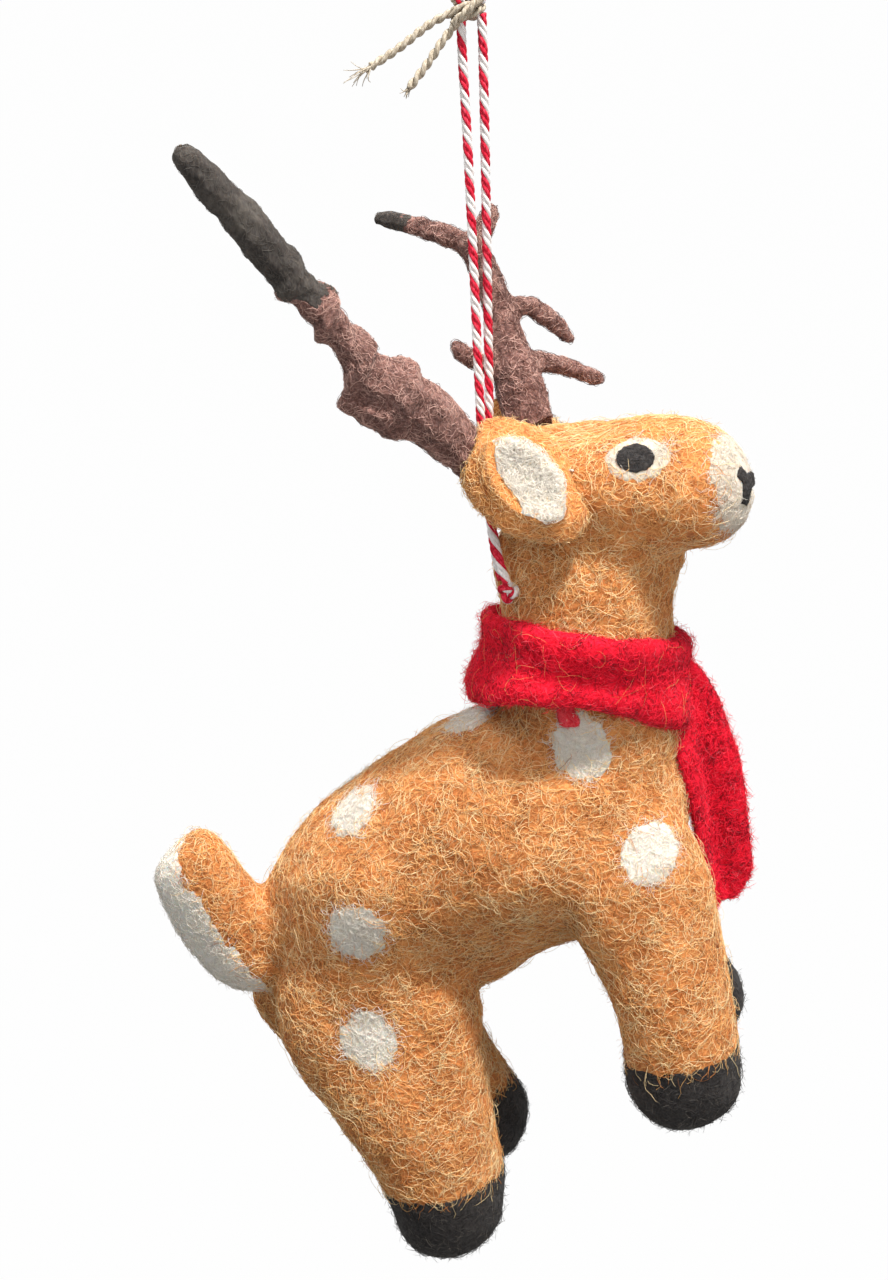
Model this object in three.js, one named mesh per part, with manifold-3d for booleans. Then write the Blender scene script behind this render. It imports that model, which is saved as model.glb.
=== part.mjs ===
// A needle-felted wool reindeer that hangs nose-up from a loop of striped twine.
// Millimetres, +Z up. The origin is the eye of the twine loop, where a hook bears.
// The deer faces +X, so its right side is -Y. Every felted form is a loft along a spine,
// and where two forms meet, the larger one cuts the smaller one back by a felt gap.

import Module from 'manifold-3d';
import * as THREE from 'three';
import { mergeVertices } from 'three/addons/utils/BufferGeometryUtils.js';

const wasm = await Module();
wasm.setup();

// Clearance between pieces that touch, and the thickness of wool patches
const FELT_GAP = 0.3;
const PATCH_THICKNESS = 0.6;

// Twine loop and the string tied round it
const TWINE_DIAMETER = 1.06;
const NAPE_DROP = 86;
const STRING_KNOT_DROP = 19;
const STRING_KNOT_DIAMETER = 3.6;
const STRING_DIAMETER = 1;
const LOOP_WIDTH = 5.4;
const STRAND_SPACING = 2.3;
const NAPE_KNOT_DIAMETER = 2.4;

// Torso, tilted nose-up about its own middle, which lies below and behind the nape
const TORSO_LENGTH = 57;
const TORSO_HEIGHT = 29.6;
const TORSO_WIDTH = 26;
const TORSO_PITCH = 25;
const TORSO_BELOW_NAPE = 36.5;
const TORSO_BEHIND_NAPE = 2.8;

// Legs and hooves, in the torso's tilted frame
const HIP_BEHIND_MIDDLE = 18;
const SHOULDER_AHEAD_OF_MIDDLE = 18.5;
const REAR_LEG_LENGTH = 40;
const FRONT_LEG_LENGTH = 36;
const THIGH_DEPTH = 27;
const SHOULDER_DEPTH = 17;
const LEG_DIAMETER = 14;
const HIP_HALF_SPREAD = 7;
const HOOF_HALF_SPREAD = 12;
const HOOF_HEIGHT = 10;
const LEFT_HIP_SETBACK = 5;
const LEFT_SHOULDER_SETBACK = 5.4;
const LEFT_REAR_STEP = 5;
const LEFT_FRONT_STEP = 3;
const LEFT_LEG_EXTRA_LENGTH = 1.4;

// Tail
const TAIL_WIDTH = 10;
const TAIL_THICKNESS = 11.8;
const TAIL_WHITE_THICKNESS = 5;

// Neck and head
const NECK_AHEAD_OF_NAPE = 11.2;
const NECK_FOOT_ABOVE_TORSO_MIDDLE = 10.5;
const NECK_TOP_BELOW_HEAD = 4;
const NECK_DEPTH = 20.4;
const NECK_WIDTH = 17.4;
const HEAD_BACK = 2;
const HEAD_LENGTH = 29;
const HEAD_HEIGHT = 15;
const HEAD_WIDTH = 17;
const HEAD_ABOVE_NAPE = 13;
const MUZZLE_LENGTH = 3.5;
const HEAD_TURN = 12;

// Face and ears
const EYE_PATCH_LENGTH = 7.3;
const EYE_PATCH_HEIGHT = 5.9;
const PUPIL_DIAMETER = 4.2;
const EYE_AHEAD_OF_HEAD_BACK = 17.4;
const RIGHT_EYE_ANGLE = 55;
const LEFT_EYE_ANGLE = 72;
const NOSE_STROKE = 1.5;
const NOSE_HALF_WIDTH = 2.6;
const NOSE_HEIGHT = 4.6;
const NOSE_ABOVE_HEAD_AXIS = 1.1;
const NOSE_ASIDE = 0.36;
const EAR_AHEAD_OF_HEAD_BACK = 4.6;
const EAR_HALF_SPREAD = 8.8;
const EAR_ABOVE_HEAD_AXIS = 1.6;
const LEFT_EAR_DROOP = 2.4;
const LEFT_EAR_SETBACK = 3.6;
const EAR_LENGTH = 18;
const EAR_WIDTH = 12;
const EAR_THICKNESS = 6;
const EAR_RIM = 2.2;
const EAR_LINING_THICKNESS = 1.2;

// Antlers, wool wrapped round a wire
const ANTLER_WIRE_DIAMETER = 1.2;
const ANTLER_WIRE_DEPTH = 6;
const RIGHT_BEAM_DIAMETER = 4.7;
const RIGHT_BEAM_ROOT_DIAMETER = 5.8;
const RIGHT_TIP_DIAMETER = 5;
const RIGHT_LOBE_DIAMETER = 5;
const LEFT_BEAM_DIAMETER = 4.2;
const LEFT_BEAM_ROOT_DIAMETER = 6.4;
const LEFT_TINE_DIAMETER = 3.1;

// White spots
const SPOT_DIAMETER = 6.6;

// Scarf, one felt strip worn round the neck. The wrap leans out with the neck and rises less than its width.
const SCARF_WIDTH = 10;
const SCARF_THICKNESS = 1.8;
const SCARF_WRAP_RISE = 9.2;
const SCARF_ABOVE_TORSO_MIDDLE = 26.8;
const SCARF_AHEAD_TILT = 8;
const SCARF_SIDE_TILT = 13;
const SCARF_END_YAW = 20;
const SCARF_END_CROWN = 0.9;
const SCARF_TUCK_SIZE = 5;
const SCARF_TUCK_THICKNESS = 0.9;

const COLOURS = {
  coat: 0xd9963f,
  white: 0xe9e1d2,
  black: 0x242226,
  scarf: 0xd20f26,
  antler: 0x69504a,
  antlerTip: 0x3d3836,
  wire: 0x8d8f92,
  twine: 0xd96a76,
  string: 0xa89b86,
};

const RIGHT = -1;
const LEFT = 1;
const SIDES = [[RIGHT, 'right'], [LEFT, 'left']];
const LATERAL = new THREE.Vector3(0, 1, 0);
const UP = new THREE.Vector3(0, 0, 1);

const WELD_DISTANCE = 1e-5;

const vec = (x, y, z) => new THREE.Vector3(x, y, z);
const radians = THREE.MathUtils.degToRad;
const scaled = (shares, size) => shares.map((share) => share * size);

// Solids

function solidOf(geometry) {
  geometry.deleteAttribute('normal');
  geometry.deleteAttribute('uv');
  const merged = mergeVertices(geometry, WELD_DISTANCE);
  const vertProperties = new Float32Array(merged.attributes.position.array);
  const triVerts = new Uint32Array(merged.index.array);
  return new wasm.Manifold(new wasm.Mesh({ numProp: 3, vertProperties, triVerts }));
}

function geometryOf(solid) {
  const { vertProperties, triVerts } = solid.getMesh();
  const geometry = new THREE.BufferGeometry();
  geometry.setAttribute('position', new THREE.BufferAttribute(vertProperties, 3));
  geometry.setIndex(new THREE.BufferAttribute(triVerts, 1));
  geometry.computeVertexNormals();
  return geometry;
}

const cut = (solid, ...tools) => tools.reduce((left, tool) => left.subtract(tool), solid);

// Rings of points, each ring square to a path, closed by a point or a fan at both ends
function skin(rings, first, last) {
  const sides = rings[0].length;
  const points = [first, ...rings.flat(), last];
  const triangles = [];
  const at = (ring, side) => 1 + ring * sides + (side % sides);
  for (let side = 0; side < sides; side += 1) {
    triangles.push(0, at(0, side + 1), at(0, side));
    triangles.push(points.length - 1, at(rings.length - 1, side), at(rings.length - 1, side + 1));
    for (let ring = 0; ring + 1 < rings.length; ring += 1) {
      triangles.push(at(ring, side), at(ring, side + 1), at(ring + 1, side));
      triangles.push(at(ring, side + 1), at(ring + 1, side + 1), at(ring + 1, side));
    }
  }
  const geometry = new THREE.BufferGeometry();
  geometry.setAttribute('position', new THREE.Float32BufferAttribute(points.flatMap((p) => p.toArray()), 3));
  geometry.setIndex(triangles);
  return solidOf(geometry);
}

function smooth(values, share) {
  return new THREE.CatmullRomCurve3(values.map((value) => vec(value, 0, 0))).getPoint(share).x;
}

// A felted form swells and tapers along its spine. Depths are half sizes in the plane of the spine,
// widths are half sizes across it, and caps are the shares of the length that round off to the ends.
function felted({ spine, depths, widths, caps, sides, rings }, grow = 0) {
  const curve = new THREE.CatmullRomCurve3(spine);
  const frameAt = (share) => {
    const along = curve.getTangent(share);
    const across = LATERAL.clone().addScaledVector(along, -LATERAL.dot(along)).normalize();
    const middle = curve.getPoint(share).addScaledVector(along, grow * (2 * share - 1));
    return { middle, across, depth: across.clone().cross(along) };
  };
  const rounding = (share) => {
    const near = Math.min(share / caps[0], (1 - share) / caps[1], 1);
    return Math.sqrt(1 - (1 - near) ** 2);
  };
  const ringAt = (share) => {
    const { middle, across, depth } = frameAt(share);
    const high = smooth(depths, share) * rounding(share) + grow;
    const wide = smooth(widths, share) * rounding(share) + grow;
    return Array.from({ length: sides }, (_, side) => {
      const angle = (2 * Math.PI * side) / sides;
      return middle.clone()
        .addScaledVector(depth, high * Math.cos(angle))
        .addScaledVector(across, wide * Math.sin(angle));
    });
  };
  const shareOf = (ring) => (1 - Math.cos((Math.PI * (ring + 1)) / (rings + 1))) / 2;
  const loft = Array.from({ length: rings }, (_, ring) => ringAt(shareOf(ring)));
  return skin(loft, frameAt(0).middle, frameAt(1).middle);
}

// A round bar along a path, such as twine, string or wire
function cordSolid(route, diameter, steps, sides = 8) {
  const extrudePath = new THREE.CatmullRomCurve3(route);
  const section = new THREE.Shape().absarc(0, 0, diameter / 2, 0, 2 * Math.PI);
  return solidOf(new THREE.ExtrudeGeometry(section, { extrudePath, steps, curveSegments: sides / 2 }));
}

// A flat strip along a path, crowned across its width, its width level and turning from one yaw to another
function ribbon(points, { width, thickness, crown, yaws, steps, columns }) {
  const path = new THREE.CatmullRomCurve3(points);
  const rings = Array.from({ length: steps + 1 }, (_, step) => {
    const yaw = radians(THREE.MathUtils.lerp(...yaws, THREE.MathUtils.smoothstep(step / steps, 0, 0.5)));
    const across = vec(Math.sin(yaw), Math.cos(yaw), 0);
    const along = path.getTangent(step / steps);
    const outward = across.clone().cross(along).normalize();
    const place = (column, face) => {
      const share = (2 * column) / columns - 1;
      return path.getPoint(step / steps)
        .addScaledVector(across, (share * width) / 2)
        .addScaledVector(outward, face * (thickness / 2) - crown * share ** 2);
    };
    const outer = Array.from({ length: columns + 1 }, (_, column) => place(column, 1));
    const inner = Array.from({ length: columns + 1 }, (_, column) => place(columns - column, -1));
    return [...outer, ...inner];
  });
  const centre = (ring) => ring.reduce((sum, p) => sum.add(p), vec(0, 0, 0)).divideScalar(ring.length);
  return skin(rings, centre(rings[0]), centre(rings.at(-1)));
}

// A large block on one side of a plane, used to split a form in two
function halfSpace(point, normal) {
  const reach = 2 * (NAPE_DROP + TORSO_LENGTH);
  const block = new THREE.BoxGeometry(reach, reach, reach);
  block.translate(0, 0, reach / 2);
  block.applyQuaternion(new THREE.Quaternion().setFromUnitVectors(UP, normal.clone().normalize()));
  block.translate(point.x, point.y, point.z);
  return solidOf(block);
}

// Splits a form at a plane, half the felt gap taken from each part
function splitAt(solid, point, normal) {
  const shift = normal.clone().setLength(FELT_GAP / 2);
  const before = solid.subtract(halfSpace(point.clone().sub(shift), normal));
  const after = solid.intersect(halfSpace(point.clone().add(shift), normal));
  return [before, after];
}

// An upright prism of a flat outline, turned so that it stands along a direction from a point
function prism(outline, from, direction, length, roll = 0) {
  const options = { depth: length, bevelEnabled: false, curveSegments: 6 };
  const geometry = new THREE.ExtrudeGeometry(outline, options);
  geometry.rotateZ(roll);
  geometry.applyQuaternion(new THREE.Quaternion().setFromUnitVectors(UP, direction.clone().normalize()));
  geometry.translate(from.x, from.y, from.z);
  return solidOf(geometry);
}

function ellipse(length, height) {
  return new THREE.Shape().absellipse(0, 0, length / 2, height / 2, 0, 2 * Math.PI);
}

// A patch of wool that lies on a form: the layer between two grown copies, inside a prism
function patchOn(form, inside, lift = FELT_GAP) {
  return inside.intersect(form(lift + PATCH_THICKNESS)).subtract(form(lift));
}

// Forms in the hanging deer's frame, whose origin is the nape where the twine is tied

const torsoMiddle = vec(-TORSO_BEHIND_NAPE, 0, -TORSO_BELOW_NAPE);
const fromTorso = (x, y, z) => vec(x, y, z).add(torsoMiddle);
const onBody = (x, y, z) => vec(x, y, z).applyAxisAngle(LATERAL, -radians(TORSO_PITCH)).add(torsoMiddle);

const TORSO_RISE = [0.03, 0.07, 0.1, 0.13, 0.085, 0.02];

function torsoForm(grow) {
  const last = TORSO_RISE.length - 1;
  return felted({
    spine: TORSO_RISE.map((rise, i) => onBody((i / last - 0.5) * TORSO_LENGTH, 0, rise * TORSO_HEIGHT)),
    depths: scaled([0.34, 0.41, 0.475, 0.5, 0.44, 0.34], TORSO_HEIGHT),
    widths: scaled([0.36, 0.46, 0.5, 0.5, 0.48, 0.4], TORSO_WIDTH),
    caps: [0.28, 0.2],
    sides: 22,
    rings: 14,
  }, grow);
}

const NECK_SLANT = [1.2, 0, -0.2, 0.4, 2.8];

function neckForm(grow) {
  const foot = NECK_FOOT_ABOVE_TORSO_MIDDLE - TORSO_BELOW_NAPE;
  const top = HEAD_ABOVE_NAPE - NECK_TOP_BELOW_HEAD;
  const rise = (i) => THREE.MathUtils.lerp(foot, top, i / (NECK_SLANT.length - 1));
  return felted({
    spine: NECK_SLANT.map((slant, i) => vec(NECK_AHEAD_OF_NAPE + slant, 0, rise(i))),
    depths: scaled([0.58, 0.53, 0.49, 0.51, 0.57], NECK_DEPTH),
    widths: scaled([0.6, 0.55, 0.51, 0.5, 0.46], NECK_WIDTH),
    caps: [0.2, 0.2],
    sides: 18,
    rings: 10,
  }, grow);
}

const HEAD_RISE = [-0.5, 0, 0.1, -0.4, -1.8];

// A direction or a place on the head, which is turned aside on the neck
const turned = (direction) => direction.applyAxisAngle(UP, -radians(HEAD_TURN));
function onHead(ahead, y, z) {
  const fromNeck = vec(HEAD_BACK + ahead - NECK_AHEAD_OF_NAPE, y, z);
  return turned(fromNeck).add(vec(NECK_AHEAD_OF_NAPE, 0, HEAD_ABOVE_NAPE));
}

function headForm(grow) {
  return felted({
    spine: HEAD_RISE.map((rise, i) => onHead((i / 4) * HEAD_LENGTH, 0, rise)),
    depths: scaled([0.4, 0.49, 0.5, 0.48, 0.42], HEAD_HEIGHT),
    widths: scaled([0.38, 0.48, 0.5, 0.43, 0.36], HEAD_WIDTH),
    caps: [0.28, 0.22],
    sides: 20,
    rings: 13,
  }, grow);
}

// Legs: shares of the length down from the hip or shoulder, with the spine's slant at each.
// On the left side the hip or shoulder is set back and the foot steps ahead.
const LEGS = {
  rear: {
    ahead: -HIP_BEHIND_MIDDLE,
    length: REAR_LEG_LENGTH,
    shares: [-0.06, 0.22, 0.52, 0.79, 1],
    slant: [-0.6, -1, -1.1, -2.7, -5.6],
    depths: [...scaled([0.46, 0.5, 0.345], THIGH_DEPTH), ...scaled([0.5, 0.48], LEG_DIAMETER)],
    widths: scaled([0.46, 0.56, 0.53, 0.5, 0.48], LEG_DIAMETER),
    setback: LEFT_HIP_SETBACK,
    step: LEFT_REAR_STEP,
    hoofAhead: -2.4,
  },
  front: {
    ahead: SHOULDER_AHEAD_OF_MIDDLE,
    length: FRONT_LEG_LENGTH,
    shares: [-0.2, 0.15, 0.48, 0.78, 1],
    slant: [-0.4, -0.3, -1.8, -4.6, -7],
    depths: [...scaled([0.5, 0.53, 0.44], SHOULDER_DEPTH), ...scaled([0.5, 0.48], LEG_DIAMETER)],
    widths: scaled([0.43, 0.5, 0.51, 0.5, 0.48], LEG_DIAMETER),
    setback: LEFT_SHOULDER_SETBACK,
    step: LEFT_FRONT_STEP,
    hoofAhead: -5,
  },
};

function legShift(kind, side, share) {
  const { setback, step } = LEGS[kind];
  return side === LEFT ? THREE.MathUtils.lerp(-setback, step, share ** 3) : 0;
}

function legForm(kind, side, grow) {
  const { ahead, length, shares, slant, depths, widths } = LEGS[kind];
  const drop = length + (side === LEFT ? LEFT_LEG_EXTRA_LENGTH : 0);
  const spread = (share) => (
    THREE.MathUtils.lerp(HIP_HALF_SPREAD, HOOF_HALF_SPREAD, THREE.MathUtils.smoothstep(share, 0, 0.9)));
  const spine = shares.map((share, i) => (
    onBody(ahead + slant[i] + legShift(kind, side, share), side * spread(share), -share * drop)));
  return felted({ spine, depths, widths, caps: [0.28, 0.17], sides: 16, rings: 12 }, grow);
}

// The coat, all the felted forms that spots and the scarf's corner can lie on
const coats = new Map();
function coatForm(grow) {
  if (!coats.has(grow)) {
    const legs = SIDES.flatMap(([side]) => [legForm('rear', side, grow), legForm('front', side, grow)]);
    coats.set(grow, legs.reduce((coat, leg) => coat.add(leg), torsoForm(grow).add(neckForm(grow))));
  }
  return coats.get(grow);
}

// Tail, turned up, on a route chosen by hand
const TAIL_ROUTE = [
  fromTorso(-23.6, -3, -12.9), fromTorso(-27.4, -3, -10.3), fromTorso(-31.4, -3, -5.7),
  fromTorso(-34.8, -3, 1.3), fromTorso(-36.4, -3, 6.7),
];

function tailForm(grow) {
  return felted({
    spine: TAIL_ROUTE,
    depths: scaled([0.42, 0.5, 0.5, 0.44, 0.36], TAIL_THICKNESS),
    widths: scaled([0.4, 0.5, 0.5, 0.46, 0.38], TAIL_WIDTH),
    caps: [0.3, 0.24],
    sides: 14,
    rings: 9,
  }, grow);
}

// An ear is a thick leaf with a scoop in its open face. Its frame: along, opening and middle.
function earFrame(side) {
  const along = turned(vec(0.69, side * 0.13, -0.7)).normalize();
  const opening = turned(vec(0.36, side * 0.88, 0.42));
  opening.addScaledVector(along, -opening.dot(along)).normalize();
  const ahead = EAR_AHEAD_OF_HEAD_BACK - (side === LEFT ? LEFT_EAR_SETBACK : 0);
  const above = EAR_ABOVE_HEAD_AXIS - (side === LEFT ? LEFT_EAR_DROOP : 0);
  return { along, opening, middle: onHead(ahead, side * EAR_HALF_SPREAD, above) };
}

function earLeaf(side, { length, width, thickness, lift }, grow = 0) {
  const { along, opening, middle } = earFrame(side);
  const across = opening.clone().cross(along);
  const leaf = felted({
    spine: [-0.5, -0.17, 0.17, 0.5].map((share) => vec(share * length, 0, lift)),
    depths: scaled([0.38, 0.5, 0.5, 0.38], thickness),
    widths: scaled([0.38, 0.5, 0.5, 0.38], width),
    caps: [0.4, 0.4],
    sides: 12,
    rings: 8,
  }, grow);
  const placed = geometryOf(leaf);
  placed.applyMatrix4(new THREE.Matrix4().makeBasis(along, across, opening).setPosition(middle));
  return solidOf(placed);
}

function earForm(side) {
  return earLeaf(side, { length: EAR_LENGTH, width: EAR_WIDTH, thickness: EAR_THICKNESS, lift: 0 });
}

function earScoop(side, grow, lift) {
  return earLeaf(side, {
    length: EAR_LENGTH - 2 * EAR_RIM,
    width: EAR_WIDTH - 2 * EAR_RIM,
    thickness: EAR_THICKNESS - EAR_RIM,
    lift: lift + EAR_THICKNESS / 2,
  }, grow);
}

// Antler routes, chosen by hand above the head's axis, from the root in the head to the tip
const overHead = (x, y, z) => vec(x, y, HEAD_ABOVE_NAPE + z);
const RIGHT_ANTLER_ROUTE = [
  overHead(4.5, -4.4, 2), overHead(-1.5, -5, 4.2), overHead(-5.5, -6.4, 9),
  overHead(-9.2, -8, 12.6), overHead(-13, -9, 16.3), overHead(-14.6, -10, 20),
  overHead(-17, -11, 23.6), overHead(-21.1, -13, 30), overHead(-24.1, -14, 34.7),
  overHead(-27.3, -15, 38.8), overHead(-30.4, -16, 43.2),
];
const RIGHT_TIP_START = 0.63;
const RIGHT_LOBE_ROUTE = [overHead(-6, -7.2, 8.6), overHead(-10, -8.6, 10.4), overHead(-15.6, -9.7, 13.2)];
const LEFT_ANTLER_ROUTE = [
  overHead(5.8, 3.6, 2), overHead(4.2, 5.2, 6), overHead(2.8, 7, 11.2),
  overHead(1.1, 9, 17.5), overHead(-0.9, 10, 23.2), overHead(-2.8, 11, 27),
];
const LEFT_TINE_ROUTES = {
  back: [overHead(-1.6, 10.7, 25), overHead(-7.8, 11.9, 27.2), overHead(-14, 13, 28.2)],
  top: [overHead(-1.8, 10.8, 25.2), overHead(-0.6, 11.6, 27.4), overHead(0.6, 12.4, 30)],
  front: [overHead(1.2, 9, 17.8), overHead(4.6, 11, 18), overHead(9.4, 13, 12.6)],
  brow: [overHead(2.8, 7.8, 12.6), overHead(7.4, 9.8, 10.8), overHead(13, 11.2, 8)],
  inner: [overHead(3.2, 7.2, 11), overHead(-0.6, 5.8, 12), overHead(-4.4, 4.4, 15.6)],
};
const LEFT_DARK_TIP_SHARE = 0.62;

function antlerForm(route, diameters, caps, rings, grow) {
  const radii = diameters.map((diameter) => diameter / 2);
  return felted({ spine: route, depths: radii, widths: radii, caps, sides: 8, rings }, grow);
}

function rightAntlerForm(grow) {
  const diameters = [
    ...scaled([1, 1, 1.25, 1.25], RIGHT_BEAM_ROOT_DIAMETER),
    ...scaled([1, 1], RIGHT_BEAM_DIAMETER),
    ...scaled([1, 1, 0.9, 0.72], RIGHT_TIP_DIAMETER),
  ];
  return antlerForm(RIGHT_ANTLER_ROUTE, diameters, [0.06, 0.05], 24, grow);
}

function leftAntlerForm(grow) {
  const diameters = [...scaled([1, 1], LEFT_BEAM_ROOT_DIAMETER), ...scaled([1, 1], LEFT_BEAM_DIAMETER)];
  return antlerForm(LEFT_ANTLER_ROUTE, diameters, [0.08, 0.08], 13, grow);
}

function leftTineForm(name, grow) {
  const diameters = scaled([1.1, 1, 0.8], LEFT_TINE_DIAMETER);
  return antlerForm(LEFT_TINE_ROUTES[name], diameters, [0.15, 0.12], 7, grow);
}

// The wire follows an antler's route from inside the head and stops short of the tip
const WIRE_STOPS = 12;
function antlerWire({ route, reach }, diameter) {
  const curve = new THREE.CatmullRomCurve3(route);
  const inward = curve.getTangent(0).multiplyScalar(-ANTLER_WIRE_DEPTH);
  const stops = Array.from({ length: WIRE_STOPS }, (_, i) => curve.getPoint((reach * i) / (WIRE_STOPS - 1)));
  return cordSolid([route[0].clone().add(inward), ...stops], diameter, 18, 6);
}

// Scarf wrap, a band of the strip that follows the neck between two parallel planes
const SCARF_MIDDLE = vec(NECK_AHEAD_OF_NAPE, 0, SCARF_ABOVE_TORSO_MIDDLE - TORSO_BELOW_NAPE);
const fromScarf = (x, y, z) => vec(x, y, z).add(SCARF_MIDDLE);
const SCARF_AXIS = UP.clone()
  .applyAxisAngle(LATERAL, radians(SCARF_AHEAD_TILT))
  .applyAxisAngle(vec(1, 0, 0), -radians(SCARF_SIDE_TILT));

function scarfBand(inner, outer, rise) {
  const half = SCARF_AXIS.clone().multiplyScalar(rise / 2);
  const above = halfSpace(SCARF_MIDDLE.clone().add(half), SCARF_AXIS);
  const below = halfSpace(SCARF_MIDDLE.clone().sub(half), SCARF_AXIS.clone().negate());
  return cut(neckForm(outer), neckForm(inner), above, below);
}

const SCARF_END_ROUTE = [
  fromScarf(13, 0.6, -0.5), fromScarf(13.2, 0.8, -4.3), fromScarf(13.7, 0.9, -8.8),
  fromScarf(14.5, 0.9, -13.8), fromScarf(15.1, 0.9, -19.8), fromScarf(15.2, 0.9, -25.3),
  fromScarf(14.8, 0.9, -30.7),
];

// Assembly

const ornament = new THREE.Group();
const hanger = new THREE.Group();
const deer = new THREE.Group();
const scarf = new THREE.Group();
deer.position.z = -NAPE_DROP;
scarf.position.copy(deer.position);
ornament.add(hanger, deer, scarf);

function addPiece(group, name, solid, colour, metalness = 0, roughness = 0.95) {
  const material = new THREE.MeshStandardMaterial({ color: colour, roughness, metalness });
  const mesh = new THREE.Mesh(geometryOf(solid), material);
  mesh.name = name;
  group.add(mesh);
}

// Head, muzzle, neck and torso
const wires = [{ route: RIGHT_ANTLER_ROUTE, reach: 0.9 }, { route: LEFT_ANTLER_ROUTE, reach: 0.85 }];
const wireBores = wires.map((wire) => antlerWire(wire, ANTLER_WIRE_DIAMETER + 2 * FELT_GAP));
const muzzlePoint = onHead(HEAD_LENGTH - MUZZLE_LENGTH, 0, 0);
const [head, muzzle] = splitAt(headForm(0), muzzlePoint, turned(vec(1, 0, 0.15)));
const torso = torsoForm(0);
addPiece(deer, 'torso', torso, COLOURS.coat);
addPiece(deer, 'neck', cut(neckForm(0), torsoForm(FELT_GAP), headForm(FELT_GAP)), COLOURS.coat);
addPiece(deer, 'head', cut(head, ...wireBores), COLOURS.coat);
addPiece(deer, 'muzzle', muzzle, COLOURS.white);

// Legs, each with its hoof below a plane that lies nearly level as the deer hangs
const HOOF_AXIS = vec(0.12, 0, -1);
for (const [kind, { ahead, hoofAhead, length }] of Object.entries(LEGS)) {
  for (const [side, word] of SIDES) {
    const line = onBody(ahead + hoofAhead, side * HOOF_HALF_SPREAD, HOOF_HEIGHT - length);
    const [leg, hoof] = splitAt(cut(legForm(kind, side, 0), torsoForm(FELT_GAP)), line, HOOF_AXIS);
    addPiece(deer, `${word}_${kind}_leg`, leg, COLOURS.coat);
    addPiece(deer, `${word}_${kind}_hoof`, hoof, COLOURS.black);
  }
}

// Tail, coat colour above and white below
const tailMiddle = TAIL_ROUTE[2];
const tailNormal = LATERAL.clone().cross(TAIL_ROUTE[3].clone().sub(TAIL_ROUTE[1])).normalize();
const tailSplit = tailMiddle.clone().addScaledVector(tailNormal, TAIL_WHITE_THICKNESS - TAIL_THICKNESS / 2);
const thighs = SIDES.map(([side]) => legForm('rear', side, FELT_GAP));
const [tailUnder, tailTop] = splitAt(cut(tailForm(0), torsoForm(FELT_GAP), ...thighs), tailSplit, tailNormal);
addPiece(deer, 'tail_top', tailTop, COLOURS.coat);
addPiece(deer, 'tail_underside', tailUnder, COLOURS.white);

// Eyes, each a white patch on the head with a black pupil on it
for (const [side, word] of SIDES) {
  const from = onHead(EYE_AHEAD_OF_HEAD_BACK, 0, 0);
  const angle = radians(side === LEFT ? LEFT_EYE_ANGLE : RIGHT_EYE_ANGLE);
  const out = turned(vec(0, side * Math.sin(angle), Math.cos(angle)));
  const white = prism(ellipse(EYE_PATCH_LENGTH, EYE_PATCH_HEIGHT), from, out, HEAD_WIDTH);
  const black = prism(ellipse(PUPIL_DIAMETER, PUPIL_DIAMETER), from, out, HEAD_WIDTH);
  addPiece(deer, `${word}_eye_patch`, patchOn(headForm, white), COLOURS.white);
  addPiece(deer, `${word}_pupil`, patchOn(headForm, black, PATCH_THICKNESS + 2 * FELT_GAP), COLOURS.black);
}

// Nose, a Y of black wool on the front of the muzzle
function noseOutline() {
  const half = NOSE_STROKE / 2;
  const fork = NOSE_HEIGHT * 0.45;
  const points = [[-half, 0], [half, 0], [half, fork - half], [NOSE_HALF_WIDTH, NOSE_HEIGHT - NOSE_STROKE],
    [NOSE_HALF_WIDTH - half, NOSE_HEIGHT], [0, fork + half], [half - NOSE_HALF_WIDTH, NOSE_HEIGHT],
    [-NOSE_HALF_WIDTH, NOSE_HEIGHT - NOSE_STROKE], [-half, fork - half]];
  return new THREE.Shape(points.map(([x, y]) => new THREE.Vector2(x, y - NOSE_HEIGHT / 2)));
}
const noseFrom = onHead(HEAD_LENGTH - MUZZLE_LENGTH, 0, NOSE_ABOVE_HEAD_AXIS);
const nosePrism = prism(noseOutline(), noseFrom, turned(vec(1, -NOSE_ASIDE, 0)), HEAD_LENGTH, -Math.PI / 2);
addPiece(deer, 'nose', patchOn(headForm, nosePrism), COLOURS.black);

// Ears and their linings
for (const [side, word] of SIDES) {
  const neighbours = [headForm(FELT_GAP), rightAntlerForm(FELT_GAP), leftAntlerForm(FELT_GAP)];
  const scooped = cut(earForm(side), earScoop(side, 0, 0), ...neighbours);
  const hollow = earScoop(side, -FELT_GAP, EAR_LINING_THICKNESS);
  const lining = cut(earScoop(side, -FELT_GAP, 0), hollow, ...neighbours);
  addPiece(deer, `${word}_ear`, scooped, COLOURS.coat);
  addPiece(deer, `${word}_ear_lining`, lining, COLOURS.white);
}

// Right antler: a brown beam that ends in a dark tip, with one short lobe
const rightCurve = new THREE.CatmullRomCurve3(RIGHT_ANTLER_ROUTE);
const rightAntler = cut(rightAntlerForm(0), headForm(FELT_GAP), wireBores[0]);
const tipPlane = rightCurve.getTangent(RIGHT_TIP_START);
const [rightBeam, rightTip] = splitAt(rightAntler, rightCurve.getPoint(RIGHT_TIP_START), tipPlane);
const lobeDiameters = scaled([0.9, 1, 1], RIGHT_LOBE_DIAMETER);
const rightLobe = antlerForm(RIGHT_LOBE_ROUTE, lobeDiameters, [0.2, 0.25], 8, 0);
addPiece(deer, 'right_antler_beam', rightBeam, COLOURS.antler);
addPiece(deer, 'right_antler_tip', rightTip, COLOURS.antlerTip);
addPiece(deer, 'right_antler_lobe', cut(rightLobe, rightAntlerForm(FELT_GAP)), COLOURS.antler);

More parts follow.
